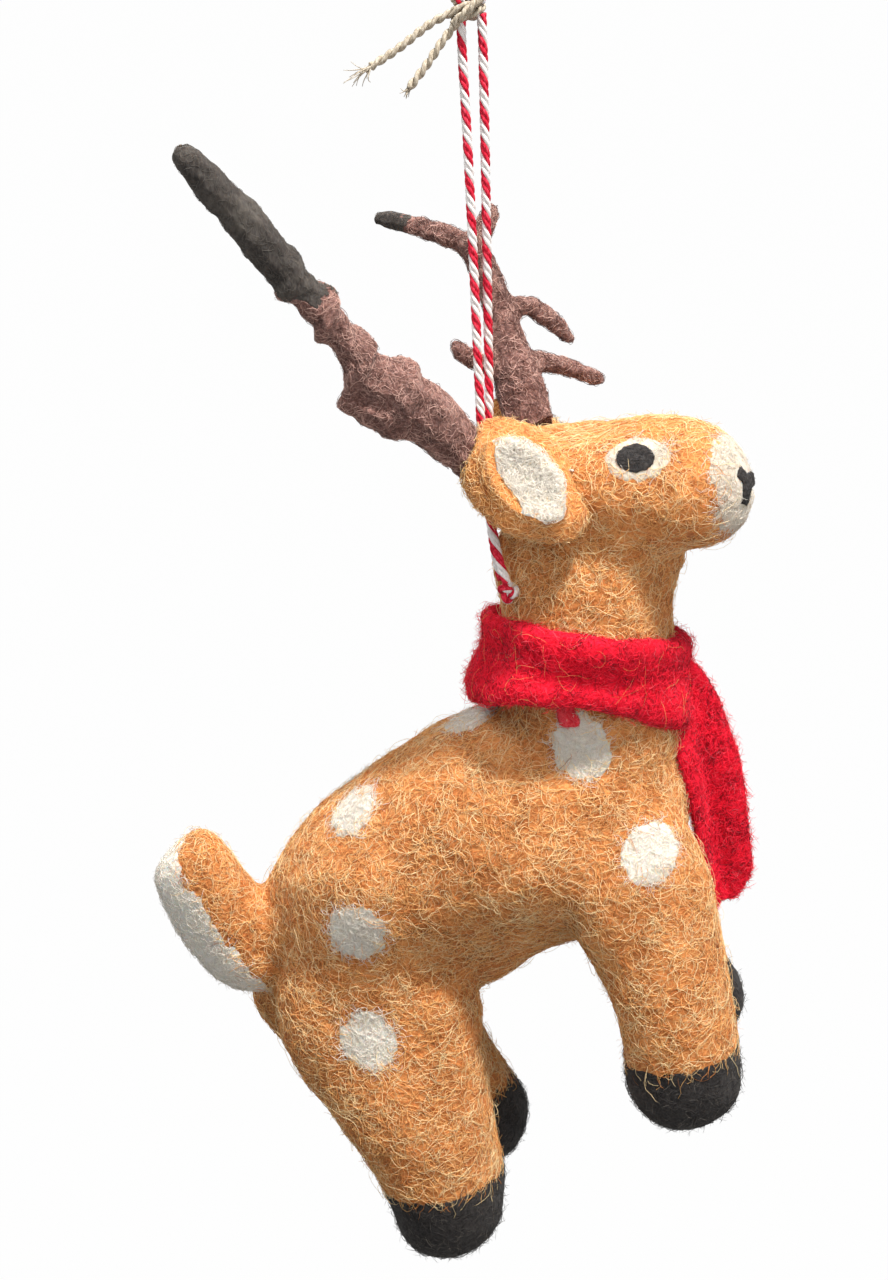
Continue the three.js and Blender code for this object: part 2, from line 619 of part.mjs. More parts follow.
// Left antler: a shorter beam with five tines, the back one ending in a dark tip
addPiece(deer, 'left_antler_beam', cut(leftAntlerForm(0), headForm(FELT_GAP), wireBores[1]), COLOURS.antler);
for (const name of ['top', 'front', 'brow', 'inner']) {
  const others = name === 'top' ? [leftTineForm('back', FELT_GAP)] : [];
  const tine = cut(leftTineForm(name, 0), leftAntlerForm(FELT_GAP), ...others);
  addPiece(deer, `left_antler_${name}_tine`, tine, COLOURS.antler);
}
const backCurve = new THREE.CatmullRomCurve3(LEFT_TINE_ROUTES.back);
const backTine = cut(leftTineForm('back', 0), leftAntlerForm(FELT_GAP));
const backPlane = backCurve.getTangent(LEFT_DARK_TIP_SHARE);
const [backRoot, backTip] = splitAt(backTine, backCurve.getPoint(LEFT_DARK_TIP_SHARE), backPlane);
addPiece(deer, 'left_antler_back_tine', backRoot, COLOURS.antler);
addPiece(deer, 'left_antler_back_tip', backTip, COLOURS.antlerTip);

// Wires that stiffen the antlers and anchor them in the head
wires.forEach((wire, i) => {
  const solid = antlerWire(wire, ANTLER_WIRE_DIAMETER);
  addPiece(deer, `${SIDES[i][1]}_antler_wire`, solid, COLOURS.wire, 0.9, 0.4);
});

// Spots on each side: where their prism starts ahead of, beside and above the torso's middle,
// its lean from level, and the leg that carries the spot
const SPOTS = {
  shoulder: { ahead: 20.4, beside: 0, above: 3, lean: 44 },
  chest: { ahead: 22.6, beside: 0, above: -3, lean: 5, leg: 'front' },
  back: { ahead: -8.8, beside: 0, above: 3, lean: 66 },
  flank: { ahead: -13.2, beside: 0, above: 3, lean: 2 },
  thigh: { ahead: -18.4, beside: HIP_HALF_SPREAD, above: -9.4, lean: 2, leg: 'rear' },
};
const WITHERS_SPOT = { ahead: 8, beside: 0, above: 3, lean: 90 };
function spotPrism({ ahead, beside, above, lean, leg }, side) {
  const x = ahead + (leg ? legShift(leg, side, 0) : 0);
  const from = onBody(x, side * beside, above);
  const level = side * Math.cos(radians(lean));
  const out = onBody(x, side * beside + level, above + Math.sin(radians(lean))).sub(from);
  return prism(ellipse(SPOT_DIAMETER, SPOT_DIAMETER), from, out, TORSO_LENGTH);
}
const scarfClear = scarfBand(-NECK_WIDTH / 4, 2 * FELT_GAP + SCARF_THICKNESS, SCARF_WRAP_RISE + 2 * FELT_GAP);
const spotPatch = (spot, side) => patchOn(coatForm, spotPrism(spot, side)).subtract(scarfClear);
for (const [name, spot] of Object.entries(SPOTS)) {
  for (const [side, word] of SIDES) {
    addPiece(deer, `${word}_${name}_spot`, spotPatch(spot, side), COLOURS.white);
  }
}
addPiece(deer, 'withers_spot', spotPatch(WITHERS_SPOT, RIGHT), COLOURS.white);

// Scarf: the wrap, the hanging end in front of it and the tucked corner below it
const wrapOuter = FELT_GAP + SCARF_THICKNESS;
const wrap = cut(scarfBand(FELT_GAP, wrapOuter, SCARF_WRAP_RISE), torsoForm(FELT_GAP), headForm(FELT_GAP));
addPiece(scarf, 'scarf_wrap', wrap, COLOURS.scarf);
const endStrip = ribbon(SCARF_END_ROUTE, {
  width: SCARF_WIDTH,
  thickness: SCARF_THICKNESS,
  crown: SCARF_END_CROWN,
  yaws: [0, SCARF_END_YAW],
  steps: 12,
  columns: 4,
});
const endClear = [neckForm(wrapOuter + FELT_GAP), torsoForm(FELT_GAP)];
addPiece(scarf, 'scarf_end', cut(endStrip, ...endClear), COLOURS.scarf);
const tuckCorners = [[-0.6, 0.5], [0.5, 0.5], [0.6, -0.5]];
const tuckPoints = tuckCorners.map((corner) => new THREE.Vector2(...scaled(corner, SCARF_TUCK_SIZE)));
const tuckPrism = prism(new THREE.Shape(tuckPoints), fromScarf(-2.2, 0, -7.3), vec(0, -1, 0.35), TORSO_WIDTH);
const tuckLift = PATCH_THICKNESS + 2 * FELT_GAP;
const tuckLayer = coatForm(tuckLift + SCARF_TUCK_THICKNESS).subtract(coatForm(tuckLift));
const tuck = cut(tuckPrism.intersect(tuckLayer), scarfClear);
addPiece(scarf, 'scarf_tucked_corner', tuck, COLOURS.scarf);

// Twine loop, its two strands and the knot at the nape, on routes chosen by hand
const half = STRAND_SPACING / 2;
const loopSide = LOOP_WIDTH / 2;
const knotReach = STRING_KNOT_DIAMETER / 2 + FELT_GAP;
const loopFoot = -STRING_KNOT_DROP + knotReach;
const strandTop = -STRING_KNOT_DROP - knotReach;
const loopLeg = (side) => [
  vec(side * half, 0, loopFoot), vec(side * half, 0, loopFoot + 2), vec(side * 1.35 * half, 0, loopFoot + 5),
  vec(side * 0.85 * loopSide, 0, -6.4), vec(side * loopSide, 0, -3.4), vec(side * 0.75 * loopSide, 0, -0.8),
];
const loopRoute = [...loopLeg(-1), vec(0, 0, TWINE_DIAMETER / 2), ...loopLeg(1).reverse()];
addPiece(hanger, 'twine_loop', cordSolid(loopRoute, TWINE_DIAMETER, 26), COLOURS.twine);
const strandRoutes = {
  right_twine_strand: [
    vec(-half, 0, strandTop), vec(-half, 0, -24), vec(-0.95, 0, -34), vec(-0.8, -0.1, -46),
    vec(-0.7, -0.4, -56), vec(-0.6, -0.7, -64), vec(-0.4, -1.5, -70), vec(0.3, -3.2, -76),
    vec(1.3, -4.9, -81), vec(2.3, -6, -83.8),
  ],
  left_twine_strand: [
    vec(half, 0, strandTop), vec(half, 0, -24), vec(1, 0, -34), vec(0.75, 0.2, -46),
    vec(0.5, 0.6, -56), vec(0.3, 0.7, -64), vec(0, 0, -70), vec(0.1, -1.6, -76),
    vec(0.8, -3.3, -81), vec(1.5, -4.5, -83.8),
  ],
};
for (const [name, route] of Object.entries(strandRoutes)) {
  addPiece(hanger, name, cordSolid(route, TWINE_DIAMETER, 22), COLOURS.twine);
}

function ballAt(middle, diameter, squash) {
  const ball = new THREE.SphereGeometry(diameter / 2, 12, 8);
  ball.scale(1, squash, 1);
  ball.translate(middle.x, middle.y, middle.z);
  return solidOf(ball);
}
const napeKnot = ballAt(vec(2.7, -5.9, 0.4), NAPE_KNOT_DIAMETER, 1.15);
addPiece(deer, 'nape_knot', cut(napeKnot, neckForm(FELT_GAP)), COLOURS.twine);

// String knot and its two frayed tails
const stringKnot = ballAt(vec(0, 0, -STRING_KNOT_DROP), STRING_KNOT_DIAMETER, 0.9);
addPiece(hanger, 'string_knot', stringKnot, COLOURS.string);
const tailStart = -STRING_KNOT_DIAMETER / 2 - FELT_GAP;
const stringTails = {
  long: [
    vec(tailStart, 0, -19), vec(-4.6, -0.4, -20), vec(-8, -1.1, -22.6), vec(-11, -1.7, -24.4),
    vec(-13.6, -2, -26),
  ],
  short: [
    vec(tailStart + 0.4, -0.6, -20.4), vec(-3.2, -1.3, -22), vec(-4.8, -2, -24.2), vec(-6.2, -2.6, -26),
    vec(-7.4, -3, -27.4),
  ],
};
for (const [word, route] of Object.entries(stringTails)) {
  addPiece(hanger, `string_tail_${word}`, cordSolid(route, STRING_DIAMETER, 8), COLOURS.string);
}

export default ornament;
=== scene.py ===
"""A needle-felted reindeer ornament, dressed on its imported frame.

Wool skins are felted over the frame's solids, patches of other wool lie on the skins, and curly fibres lie
on both. Metres, +Z up, in the frame's own place: the origin is the eye of the twine loop, and the deer
faces +X.
"""

import math

import bmesh
import bpy
import numpy as np
from mathutils import Matrix, Vector, noise
from mathutils.bvhtree import BVHTree
from mathutils.kdtree import KDTree


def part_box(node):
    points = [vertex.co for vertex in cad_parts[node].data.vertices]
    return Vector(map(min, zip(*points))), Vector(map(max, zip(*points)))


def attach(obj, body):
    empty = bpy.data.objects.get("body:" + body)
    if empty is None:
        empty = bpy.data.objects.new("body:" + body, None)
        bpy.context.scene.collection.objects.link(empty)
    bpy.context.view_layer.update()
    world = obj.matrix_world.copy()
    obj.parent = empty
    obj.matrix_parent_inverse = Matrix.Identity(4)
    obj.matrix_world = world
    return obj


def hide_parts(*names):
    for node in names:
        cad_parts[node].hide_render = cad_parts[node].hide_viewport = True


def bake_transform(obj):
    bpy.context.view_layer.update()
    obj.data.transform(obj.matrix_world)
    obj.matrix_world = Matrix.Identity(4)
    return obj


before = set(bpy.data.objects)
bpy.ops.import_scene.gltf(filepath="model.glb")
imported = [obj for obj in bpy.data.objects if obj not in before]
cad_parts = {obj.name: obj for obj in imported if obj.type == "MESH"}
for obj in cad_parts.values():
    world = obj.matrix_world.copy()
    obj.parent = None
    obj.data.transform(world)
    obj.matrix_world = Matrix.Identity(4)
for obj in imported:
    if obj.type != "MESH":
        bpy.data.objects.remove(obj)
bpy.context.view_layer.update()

MM = 0.001
random = np.random.default_rng(11)

# Camera
CAMERA_AZIMUTH = math.radians(7)
CAMERA_ELEVATION = math.radians(21)
CAMERA_ROLL = math.radians(-2.5)
CAMERA_TARGET = Vector((-6, 0, -93)) * MM
CAMERA_DISTANCE = 380 * MM
CAMERA_LENS = 90.84

# Lamps, seen from the ornament: direction, distance, size, level on a white surface that faces it, colour
LAMPS = {
    "key": (Vector((0.35, -0.2, 0.915)), 0.6, 0.06, 1.6, (1.0, 0.97, 0.92)),
    "front": (Vector((0.45, -0.8, 0.4)), 0.17, 0.1, 0.35, (1.0, 0.97, 0.93)),
    "left": (Vector((-0.6, -0.1, 0.79)), 0.3, 0.15, 0.5, (1.0, 0.98, 0.95)),
}
SKY_LEVEL = 0.26

# Floor, far below the ornament
FLOOR_HALF = 4.0
FLOOR_LEVEL = -0.42
FLOOR_WHITENESS = 0.985

# Twine and string
TWINE_DIAMETER = 1.06 * MM
TWINE_TWIST = 3.9 * MM
STRING_DIAMETER = 1.0 * MM
STRING_TWIST = 2.6 * MM

# Wool
SKIN_VOXEL = 0.5 * MM
CREASE_PASSES = 300
CREASE_STEP = 0.5
PATCH_LIFT = 0.1 * MM
PATCH_SINK = 0.2 * MM
PATCH_DEPTH = 0.35 * MM
PATCH_REACH = 5 * MM
PATCH_CLOSING = 0.6 * MM
PATCH_SURROUNDINGS = 2.5 * MM
FIBRE_STEPS = 7
FIBRES_PER_PIECE = 6200
TORSO_PITCH = math.radians(25)
BODY_AXIS = np.array([math.cos(TORSO_PITCH), 0, math.sin(TORSO_PITCH)])

# Scarf
SCARF_MIDDLE = np.array([11.2, 0, -95.7]) * MM
SCARF_AXIS = np.array([0.139, 0.223, 0.965])
SCARF_WIDTH = 10 * MM
SCARF_THICKNESS = 1.5 * MM
SCARF_GAP = 0.1 * MM
SCARF_RIDGE = 0.35 * MM
SCARF_FLARE = 2.6 * MM
SCARF_WAVE = 0.45 * MM
SCARF_SWELL = 0.4 * MM
SCARF_TAPER = 0.2
SCARF_DROOP = 0.3

SIDES = ("right", "left")
LEGS = [f"{side}_{end}" for side in SIDES for end in ("rear", "front")]
SPOT_PLACES = ("shoulder", "chest", "back", "flank", "thigh")
SPOTS = [f"{side}_{place}_spot" for side in SIDES for place in SPOT_PLACES] + ["withers_spot"]
LEFT_TINES = [f"left_antler_{place}_tine" for place in ("top", "front", "brow", "inner", "back")]


# Camera, lights and stage


def make_camera():
    camera = bpy.data.objects.new("camera", bpy.data.cameras.new("camera"))
    camera.data.lens = CAMERA_LENS
    camera.data.sensor_width = 36
    camera.data.clip_start = 0.01
    tilt = Matrix.Rotation(math.pi / 2 - CAMERA_ELEVATION, 4, "X") @ Matrix.Rotation(CAMERA_ROLL, 4, "Z")
    turn = Matrix.Rotation(CAMERA_AZIMUTH, 4, "Z") @ tilt
    back = Matrix.Translation((0, 0, CAMERA_DISTANCE))
    camera.matrix_world = Matrix.Translation(CAMERA_TARGET) @ turn @ back
    bpy.context.scene.collection.objects.link(camera)
    bpy.context.scene.camera = camera


def add_lamp(name, direction, distance, size, level, colour):
    """A square lamp that faces the ornament. Its power gives a white surface that faces it the level."""
    lamp = bpy.data.lights.new(name, "AREA")
    lamp.size = size
    lamp.energy = level * (math.pi * distance) ** 2
    lamp.color = colour
    obj = bpy.data.objects.new(name, lamp)
    obj.location = CAMERA_TARGET + direction.normalized() * distance
    obj.rotation_euler = (-direction).to_track_quat("-Z", "Y").to_euler()
    bpy.context.scene.collection.objects.link(obj)


# Node helpers


def srgb(red, green, blue):
    """A colour written as 0 to 255, as the shader's linear value."""
    values = np.array([red, green, blue]) / 255
    linear = np.where(values <= 0.04045, values / 12.92, ((values + 0.055) / 1.055) ** 2.4)
    return (*linear, 1.0)


def add_node(tree, kind, inputs=None, **settings):
    """A new node; an input given as a socket is linked, any other is its value."""
    made = tree.nodes.new(kind)
    for name, value in settings.items():
        setattr(made, name, value)
    for name, value in (inputs or {}).items():
        if isinstance(value, bpy.types.NodeSocket):
            tree.links.new(value, made.inputs[name])
        else:
            made.inputs[name].default_value = value
    return made


def math_node(tree, operation, first, second=0.0, clamp=False):
    settings = {"operation": operation, "use_clamp": clamp}
    return add_node(tree, "ShaderNodeMath", {0: first, 1: second}, **settings).outputs[0]


def mix_colours(tree, share, first, second):
    inputs = {0: share, 6: first, 7: second}
    return add_node(tree, "ShaderNodeMix", inputs, data_type="RGBA").outputs[2]


def noise_node(tree, vector, scale, detail=2.0):
    inputs = {"Vector": vector, "Scale": scale, "Detail": detail}
    return add_node(tree, "ShaderNodeTexNoise", inputs).outputs[0]


def map_range(tree, value, low, high, first, last):
    inputs = {"Value": value, "From Min": low, "From Max": high, "To Min": first, "To Max": last}
    return add_node(tree, "ShaderNodeMapRange", inputs, clamp=True).outputs[0]


def colour_ramp(tree, value, places, tones):
    """Tones, each written as 0 to 255, at their places along a value."""
    made = add_node(tree, "ShaderNodeValToRGB", {0: value})
    ramp = made.color_ramp
    while len(ramp.elements) < len(places):
        ramp.elements.new(0.5)
    for element, place, tone in zip(ramp.elements, places, tones):
        element.position = place
        element.color = srgb(*tone)
    return made.outputs[0]


def object_place(tree):
    return add_node(tree, "ShaderNodeTexCoord").outputs["Object"]


def new_material(name):
    material = bpy.data.materials.new(name)
    material.use_nodes = True
    return material, material.node_tree, material.node_tree.nodes["Principled BSDF"]


def set_inputs(shader, values):
    for name, value in values.items():
        shader.inputs[name].default_value = value


def finish_material(tree, shader, colour, rough, height, strength, distance):
    """Joins a colour, a roughness and a relief to the shader."""
    relief = add_node(tree, "ShaderNodeBump", {"Strength": strength, "Distance": distance, "Height": height})
    for name, socket in (("Base Color", colour), ("Roughness", rough), ("Normal", relief.outputs[0])):
        tree.links.new(socket, shader.inputs[name])
    set_inputs(shader, {"Specular IOR Level": 0.15})


# Materials, with the scales of their patterns per metre

LONG_THREADS = 1100
SHORT_THREADS = 1900
WOOL_CLOUDS = 230
WOOL_GRAIN = 2300
YARN = {
    "scale": 5200, "places": (0.3, 0.52, 0.75), "rough": (0.95, 0.75), "bump": 0.5, "depth": 0.06 * MM,
    "stretch": (1, 1, 0.3),
}
WIRE = {
    "scale": 2400, "places": (0.3, 0.7), "rough": (0.3, 0.5), "bump": 0.2, "depth": 0.02 * MM,
    "metallic": 0.9,
}


def thread_mask(tree, vector, scale, width):
    """Thin curly lines, where a noise crosses its middle value."""
    away = math_node(tree, "SUBTRACT", noise_node(tree, vector, scale, 1.0), 0.5)
    return map_range(tree, math_node(tree, "ABSOLUTE", away), 0.0, width, 1.0, 0.0)


def wool_material(name, tones, thread, comb=(1, 1, 1), thread_share=0.4, bump=0.35, sheen=0.1, glow=0.5):
    """Felted wool: clouded tones under a mat of fine lighter threads, drawn out along one axis by comb.

    Light spreads inside it, further where glow is larger.
    """
    material, tree, shader = new_material(name)
    place = object_place(tree)
    turn = {"Vector": place, "Rotation": (0, TORSO_PITCH, 0), "Scale": comb}
    combed = add_node(tree, "ShaderNodeMapping", turn).outputs[0]
    long_threads = thread_mask(tree, combed, LONG_THREADS, 0.03)
    threads = math_node(tree, "MAXIMUM", long_threads, thread_mask(tree, combed, SHORT_THREADS, 0.05))
    cloud = noise_node(tree, place, WOOL_CLOUDS, 3.0)
    grain = noise_node(tree, combed, WOOL_GRAIN, 2.0)
    mottle = math_node(tree, "MULTIPLY", math_node(tree, "ADD", cloud, grain), 0.5)
    base = colour_ramp(tree, mottle, (0.36, 0.5, 0.64), tones)
    colour = mix_colours(tree, math_node(tree, "MULTIPLY", threads, thread_share), base, srgb(*thread))
    rough = map_range(tree, mottle, 0.3, 0.7, 0.98, 0.82)
    height = math_node(tree, "ADD", math_node(tree, "MULTIPLY", threads, 0.35), grain)
    finish_material(tree, shader, colour, rough, height, bump, 0.12 * MM)
    set_inputs(shader, {
        "Sheen Weight": sheen,
        "Sheen Roughness": 0.6,
        "Subsurface Weight": glow,
        "Subsurface Radius": (1.0, 0.7, 0.5),
        "Subsurface Scale": glow * MM,
    })
    return material


def fibre_material(name, tone):
    """Single wool fibres. Their tones differ from one piece of fuzz to the next."""
    material, _, shader = new_material(name)
    set_inputs(shader, {"Base Color": srgb(*tone), "Roughness": 0.65, "Specular IOR Level": 0.3})
    return material


def grained_material(name, tones, places, scale, rough, bump, depth, stretch=(1, 1, 1), metallic=0.0):
    """One fine grain, in tones from its hollows to its ridges."""
    material, tree, shader = new_material(name)
    drawn = add_node(tree, "ShaderNodeMapping", {"Vector": object_place(tree), "Scale": stretch}).outputs[0]
    grain = noise_node(tree, drawn, scale, 3.0)
    base = colour_ramp(tree, grain, places, tones)
    finish_material(tree, shader, base, map_range(tree, grain, 0.3, 0.7, *rough), grain, bump, depth)
    set_inputs(shader, {"Metallic": metallic})
    return material


def mix_to_output(tree, output, share, first, second):
    mixed = add_node(tree, "ShaderNodeMixShader", {0: share, 1: first.outputs[0], 2: second.outputs[0]})
    tree.links.new(mixed.outputs[0], tree.nodes[output].inputs["Surface"])


def make_stage():
    """A pale floor far below the hanging ornament, a white background and soft light."""
    material, tree, shader = new_material("floor")
    set_inputs(shader, {"Base Color": srgb(196, 196, 194), "Roughness": 0.9})
    path = add_node(tree, "ShaderNodeLightPath")
    white = add_node(tree, "ShaderNodeEmission", {"Color": (1, 1, 1, 1), "Strength": 1.0})
    seen = math_node(tree, "MULTIPLY", path.outputs["Is Camera Ray"], FLOOR_WHITENESS)
    mix_to_output(tree, "Material Output", seen, shader, white)
    square = [(-1, -1), (1, -1), (1, 1), (-1, 1)]
    corners = [(x * FLOOR_HALF, y * FLOOR_HALF, FLOOR_LEVEL) for x, y in square]
    mesh = bpy.data.meshes.new("floor")
    mesh.from_pydata(corners, [], [(0, 1, 2, 3)])
    mesh.materials.append(material)
    floor = bpy.data.objects.new("floor", mesh)
    bpy.context.scene.collection.objects.link(floor)

    world = bpy.data.worlds.new("studio")
    world.use_nodes = True
    bpy.context.scene.world = world
    tree = world.node_tree
    path = add_node(tree, "ShaderNodeLightPath")
    direct = math_node(tree, "ADD", path.outputs["Is Camera Ray"], path.outputs["Is Glossy Ray"])
    direct = math_node(tree, "ADD", direct, path.outputs["Is Transmission Ray"], clamp=True)
    light = add_node(tree, "ShaderNodeBackground", {"Color": (0.94, 0.97, 1.0, 1), "Strength": SKY_LEVEL})
    white = add_node(tree, "ShaderNodeBackground", {"Color": (1, 1, 1, 1), "Strength": 1.0})
    mix_to_output(tree, "World Output", direct, light, white)

    for name, lamp in LAMPS.items():
        add_lamp(name, *lamp)
    bpy.context.scene.view_settings.view_transform = "Standard"


# Mesh helpers


def add_piece(name, points, faces, material, body="ornament", slot=None, replaces=()):
    mesh = bpy.data.meshes.new(name)
    mesh.from_pydata(np.asarray(points).tolist(), [], faces)
    return dress(mesh, material, body, replaces)


def dress(mesh, material, body="ornament", replaces=()):
    """Puts a mesh in the scene as a piece that rides on a body and stands for some solids."""
    mesh.shade_smooth()
    mesh.materials.append(material)
    obj = bpy.data.objects.new(mesh.name, mesh)
    bpy.context.scene.collection.objects.link(obj)
    if body:
        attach(obj, body)
    if replaces:
        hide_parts(*replaces)
    return obj


def unit(vectors):
    return vectors / np.maximum(np.linalg.norm(vectors, axis=-1, keepdims=True), 1e-12)


def ease(values):
    """From 0 to 1 with soft ends."""
    values = np.clip(values, 0, 1)
    return values * values * (3 - 2 * values)


def turned(first, second, angles):
    """A direction turned towards another one, square to it, by some angles."""
    return first * np.cos(angles)[..., None] + second * np.sin(angles)[..., None]


def nearness(points, centre, reach):
    """From 1 at a centre to 0 at its reach, both in millimetres, and less outside."""
    return 1 - np.linalg.norm(points - np.array(centre) * MM, axis=1) / (reach * MM)


def resampled(line, along, places):
    """A line's points at some places along it."""
    return np.stack([np.interp(places, along, line[:, k]) for k in range(3)], axis=1)


def spline(points, count):
    """Evenly spaced points on a smooth curve through the given ones, which are in millimetres."""
    points = np.asarray(points, float) * MM
    padded = np.vstack([2 * points[0] - points[1], points, 2 * points[-1] - points[-2]])
    share = np.linspace(0, len(points) - 1, 40 * len(points))
    first = np.minimum(share.astype(int), len(points) - 2)
    t = (share - first)[:, None]
    a, b, c, d = (padded[first + k] for k in range(4))
    fine = 0.5 * (2 * b + (c - a) * t + (2 * a - 5 * b + 4 * c - d) * t**2 + (3 * b - a - 3 * c + d) * t**3)
    along = np.concatenate([[0], np.cumsum(np.linalg.norm(np.diff(fine, axis=0), axis=1))])
    return resampled(fine, along, np.linspace(0, along[-1], count))


def line_length(line):
    return float(np.linalg.norm(np.diff(line, axis=0), axis=1).sum())


def carried_frames(line):
    """Two directions across a line at each point, carried along it without twisting."""
    tangents = unit(np.gradient(line, axis=0))
    normals = np.zeros_like(line)
    normals[0] = unit(np.cross(tangents[0], [0.0, 1.0, 0.0]))
    for i in range(1, len(line)):
        normals[i] = unit(normals[i - 1] - tangents[i] * (normals[i - 1] @ tangents[i]))
    return normals, np.cross(tangents, normals)


def loft(rings, endless=False):
    """Points and faces of a closed skin over rings of points, with a fan at each end or joined end to end."""
    count, sides = rings.shape[:2]
    at = np.arange(count * sides).reshape(count, sides)
    after = np.roll(at, -1, axis=1)
    quads = np.stack([at, after, np.roll(after, -1, axis=0), np.roll(at, -1, axis=0)], axis=-1)
    if endless:
        return rings.reshape(-1, 3), quads.reshape(-1, 4).tolist()
    first, last = count * sides, count * sides + 1
    fans = [(first, b, a) for a, b in zip(at[0].tolist(), after[0].tolist())]
    fans += [(last, a, b) for a, b in zip(at[-1].tolist(), after[-1].tolist())]
    points = np.vstack([rings.reshape(-1, 3), rings[0].mean(0), rings[-1].mean(0)])
    return points, quads[:-1].reshape(-1, 4).tolist() + fans


def tube(line, radii, sides=8):
    """A round tube along a line, with a radius for each point."""
    first, second = carried_frames(line)
    angles = np.linspace(0, 2 * math.pi, sides, endpoint=False)
    spokes = turned(first[:, None], second[:, None], angles)
    return loft(line[:, None] + spokes * np.broadcast_to(radii, len(line))[:, None, None])


def joined(parts):
    """Several meshes as one list of points and one of faces."""
    points, faces, start = [], [], 0
    for part_points, part_faces in parts:
        points.append(part_points)
        faces += [tuple(corner + start for corner in face) for face in part_faces]
        start += len(part_points)
    return np.vstack(points), faces


# Twine and string, on the frame's routes


def plied(line, diameter, twist, plies):
    """Plies twisted round a line, each as a tube."""
    count = max(12, round(16 * line_length(line) / twist))
    centre = resampled(line, np.arange(len(line)), np.linspace(0, len(line) - 1, count))
    first, second = carried_frames(centre)
    turn = -2 * math.pi * np.linspace(0, line_length(line) / twist, count)
    offset, radius = (0.29, 0.23) if plies > 2 else (0.25, 0.27)
    tubes = []
    for ply in range(plies):
        spoke = turned(first, second, turn + 2 * math.pi * ply / plies)
        tubes.append(tube(centre + spoke * diameter * offset, diameter * radius))
    return tubes


def twine_piece(name, line, diameter, node, body=None):
    """Four plies, two red and two white."""
    points, faces = joined(plied(line, diameter, TWINE_TWIST, 4))
    obj = add_piece(name, points, faces, TWINE_RED, body, "twine", [node])
    obj.data.materials.append(TWINE_WHITE)
    white = np.arange(len(faces)) >= len(faces) // 2
    obj.data.polygons.foreach_set("material_index", white.astype(np.int32))
    return obj


LOOP_LEG = [(1.15, 0, -18.4), (1.15, 0, -16.9), (1.15, 0, -14.9), (1.5525, 0, -11.9), (2.295, 0, -6.4),
            (2.7, 0, -3.4), (2.025, 0, -0.8)]
LOOP_ROUTE = [(-x, y, z) for x, y, z in LOOP_LEG] + [(0, 0, 0.53)] + LOOP_LEG[::-1]
STRAND_ROUTES = {
    "right_twine_strand": [
        (-1.15, 0, -19.6), (-1.15, 0, -21.1), (-1.15, 0, -24), (-0.95, 0, -34), (-0.8, -0.1, -46),
        (-0.7, -0.4, -56), (-0.6, -0.7, -64), (-0.4, -1.5, -70), (0.3, -3.2, -76), (1.3, -4.9, -81),
        (2.3, -6, -83.8),
    ],
    "left_twine_strand": [
        (1.15, 0, -19.6), (1.15, 0, -21.1), (1.15, 0, -24), (1, 0, -34), (0.75, 0.2, -46), (0.5, 0.6, -56),
        (0.3, 0.7, -64), (0, 0, -70), (0.1, -1.6, -76), (0.8, -3.3, -81), (1.5, -4.5, -83.8),
    ],
}
LONG_TAIL = [(-1.2, -0.4, -19), (-2.1, -0.3, -19.4), (-4.6, -0.4, -20.6), (-8, -1.1, -23), (-11, -1.7, -24.8),
             (-13.6, -2, -26.4)]
SHORT_TAIL = [(-1, -0.8, -19.6), (-1.7, -0.8, -20.6), (-3.2, -1.3, -22.4), (-4.8, -2, -24.6),
              (-6.2, -2.6, -26.3), (-7.4, -3, -27.8)]
NAPE_KNOT = np.array([2.4, -5.5, -85]) * MM


def string_knot():
    """The string wound round both strands, higher on the right, with a crossing turn at the front."""
    turns = np.linspace(0, 5 * math.pi, 90)
    wound = np.stack([
        1.5 * np.cos(turns) - 0.35,
        1.0 * np.sin(turns),
        -20.4 + 1.05 * turns / (2 * math.pi) + 0.45 * np.cos(turns),
    ], axis=1)
    crossing = [(-1.9, -1.1, -20.6), (-1.2, -1.7, -19.8), (-0.2, -1.9, -18.9), (0.9, -1.5, -17.9),
                (1.5, -0.6, -17.2)]
    parts = plied(wound * MM, STRING_DIAMETER, STRING_TWIST, 2)
    parts += plied(spline(crossing, 40), STRING_DIAMETER, STRING_TWIST, 2)
    return add_piece("string_wraps", *joined(parts), STRING, "string_tie", "string", ["string_knot"])


def string_tail(node, route, spun_share, wisps):
    """A plied tail whose end opens out into loose wisps."""
    line = spline(route, 80)
    spun = line[: int(spun_share * len(line))]
    parts = plied(spun, STRING_DIAMETER, STRING_TWIST, 2)
    end, ahead = spun[-1], unit(spun[-1] - spun[-4])
    length = line_length(line) * (1 - spun_share)
    share = np.linspace(-0.35, 1, 9)[:, None]
    for _ in range(wisps):
        spread = random.normal(0, 0.3, 3)
        bend = random.normal(0, 0.3, 3)
        way = ahead * share + spread * np.maximum(share, 0) + bend * share**3
        path = end + length * random.uniform(0.6, 1) * way + random.normal(0, 0.1 * MM, 3)
        parts.append(tube(path, np.linspace(0.12, 0.03, 9) * MM, 4))
    return add_piece(node + "_yarn", *joined(parts), STRING, "string_tie", "string", [node])


def nape_knot():
    """A small overhand knot of the same twine, its ends drawn into it."""
    turn = np.linspace(0.1, 2 * math.pi - 0.1, 90)
    trefoil = np.stack([
        np.sin(turn) + 2 * np.sin(2 * turn), -1.6 * np.sin(3 * turn), np.cos(turn) - 2 * np.cos(2 * turn),
    ], axis=1)
    return twine_piece("nape_knot_twine", NAPE_KNOT + trefoil * 0.32 * MM, 0.9 * MM, "nape_knot", "ornament")


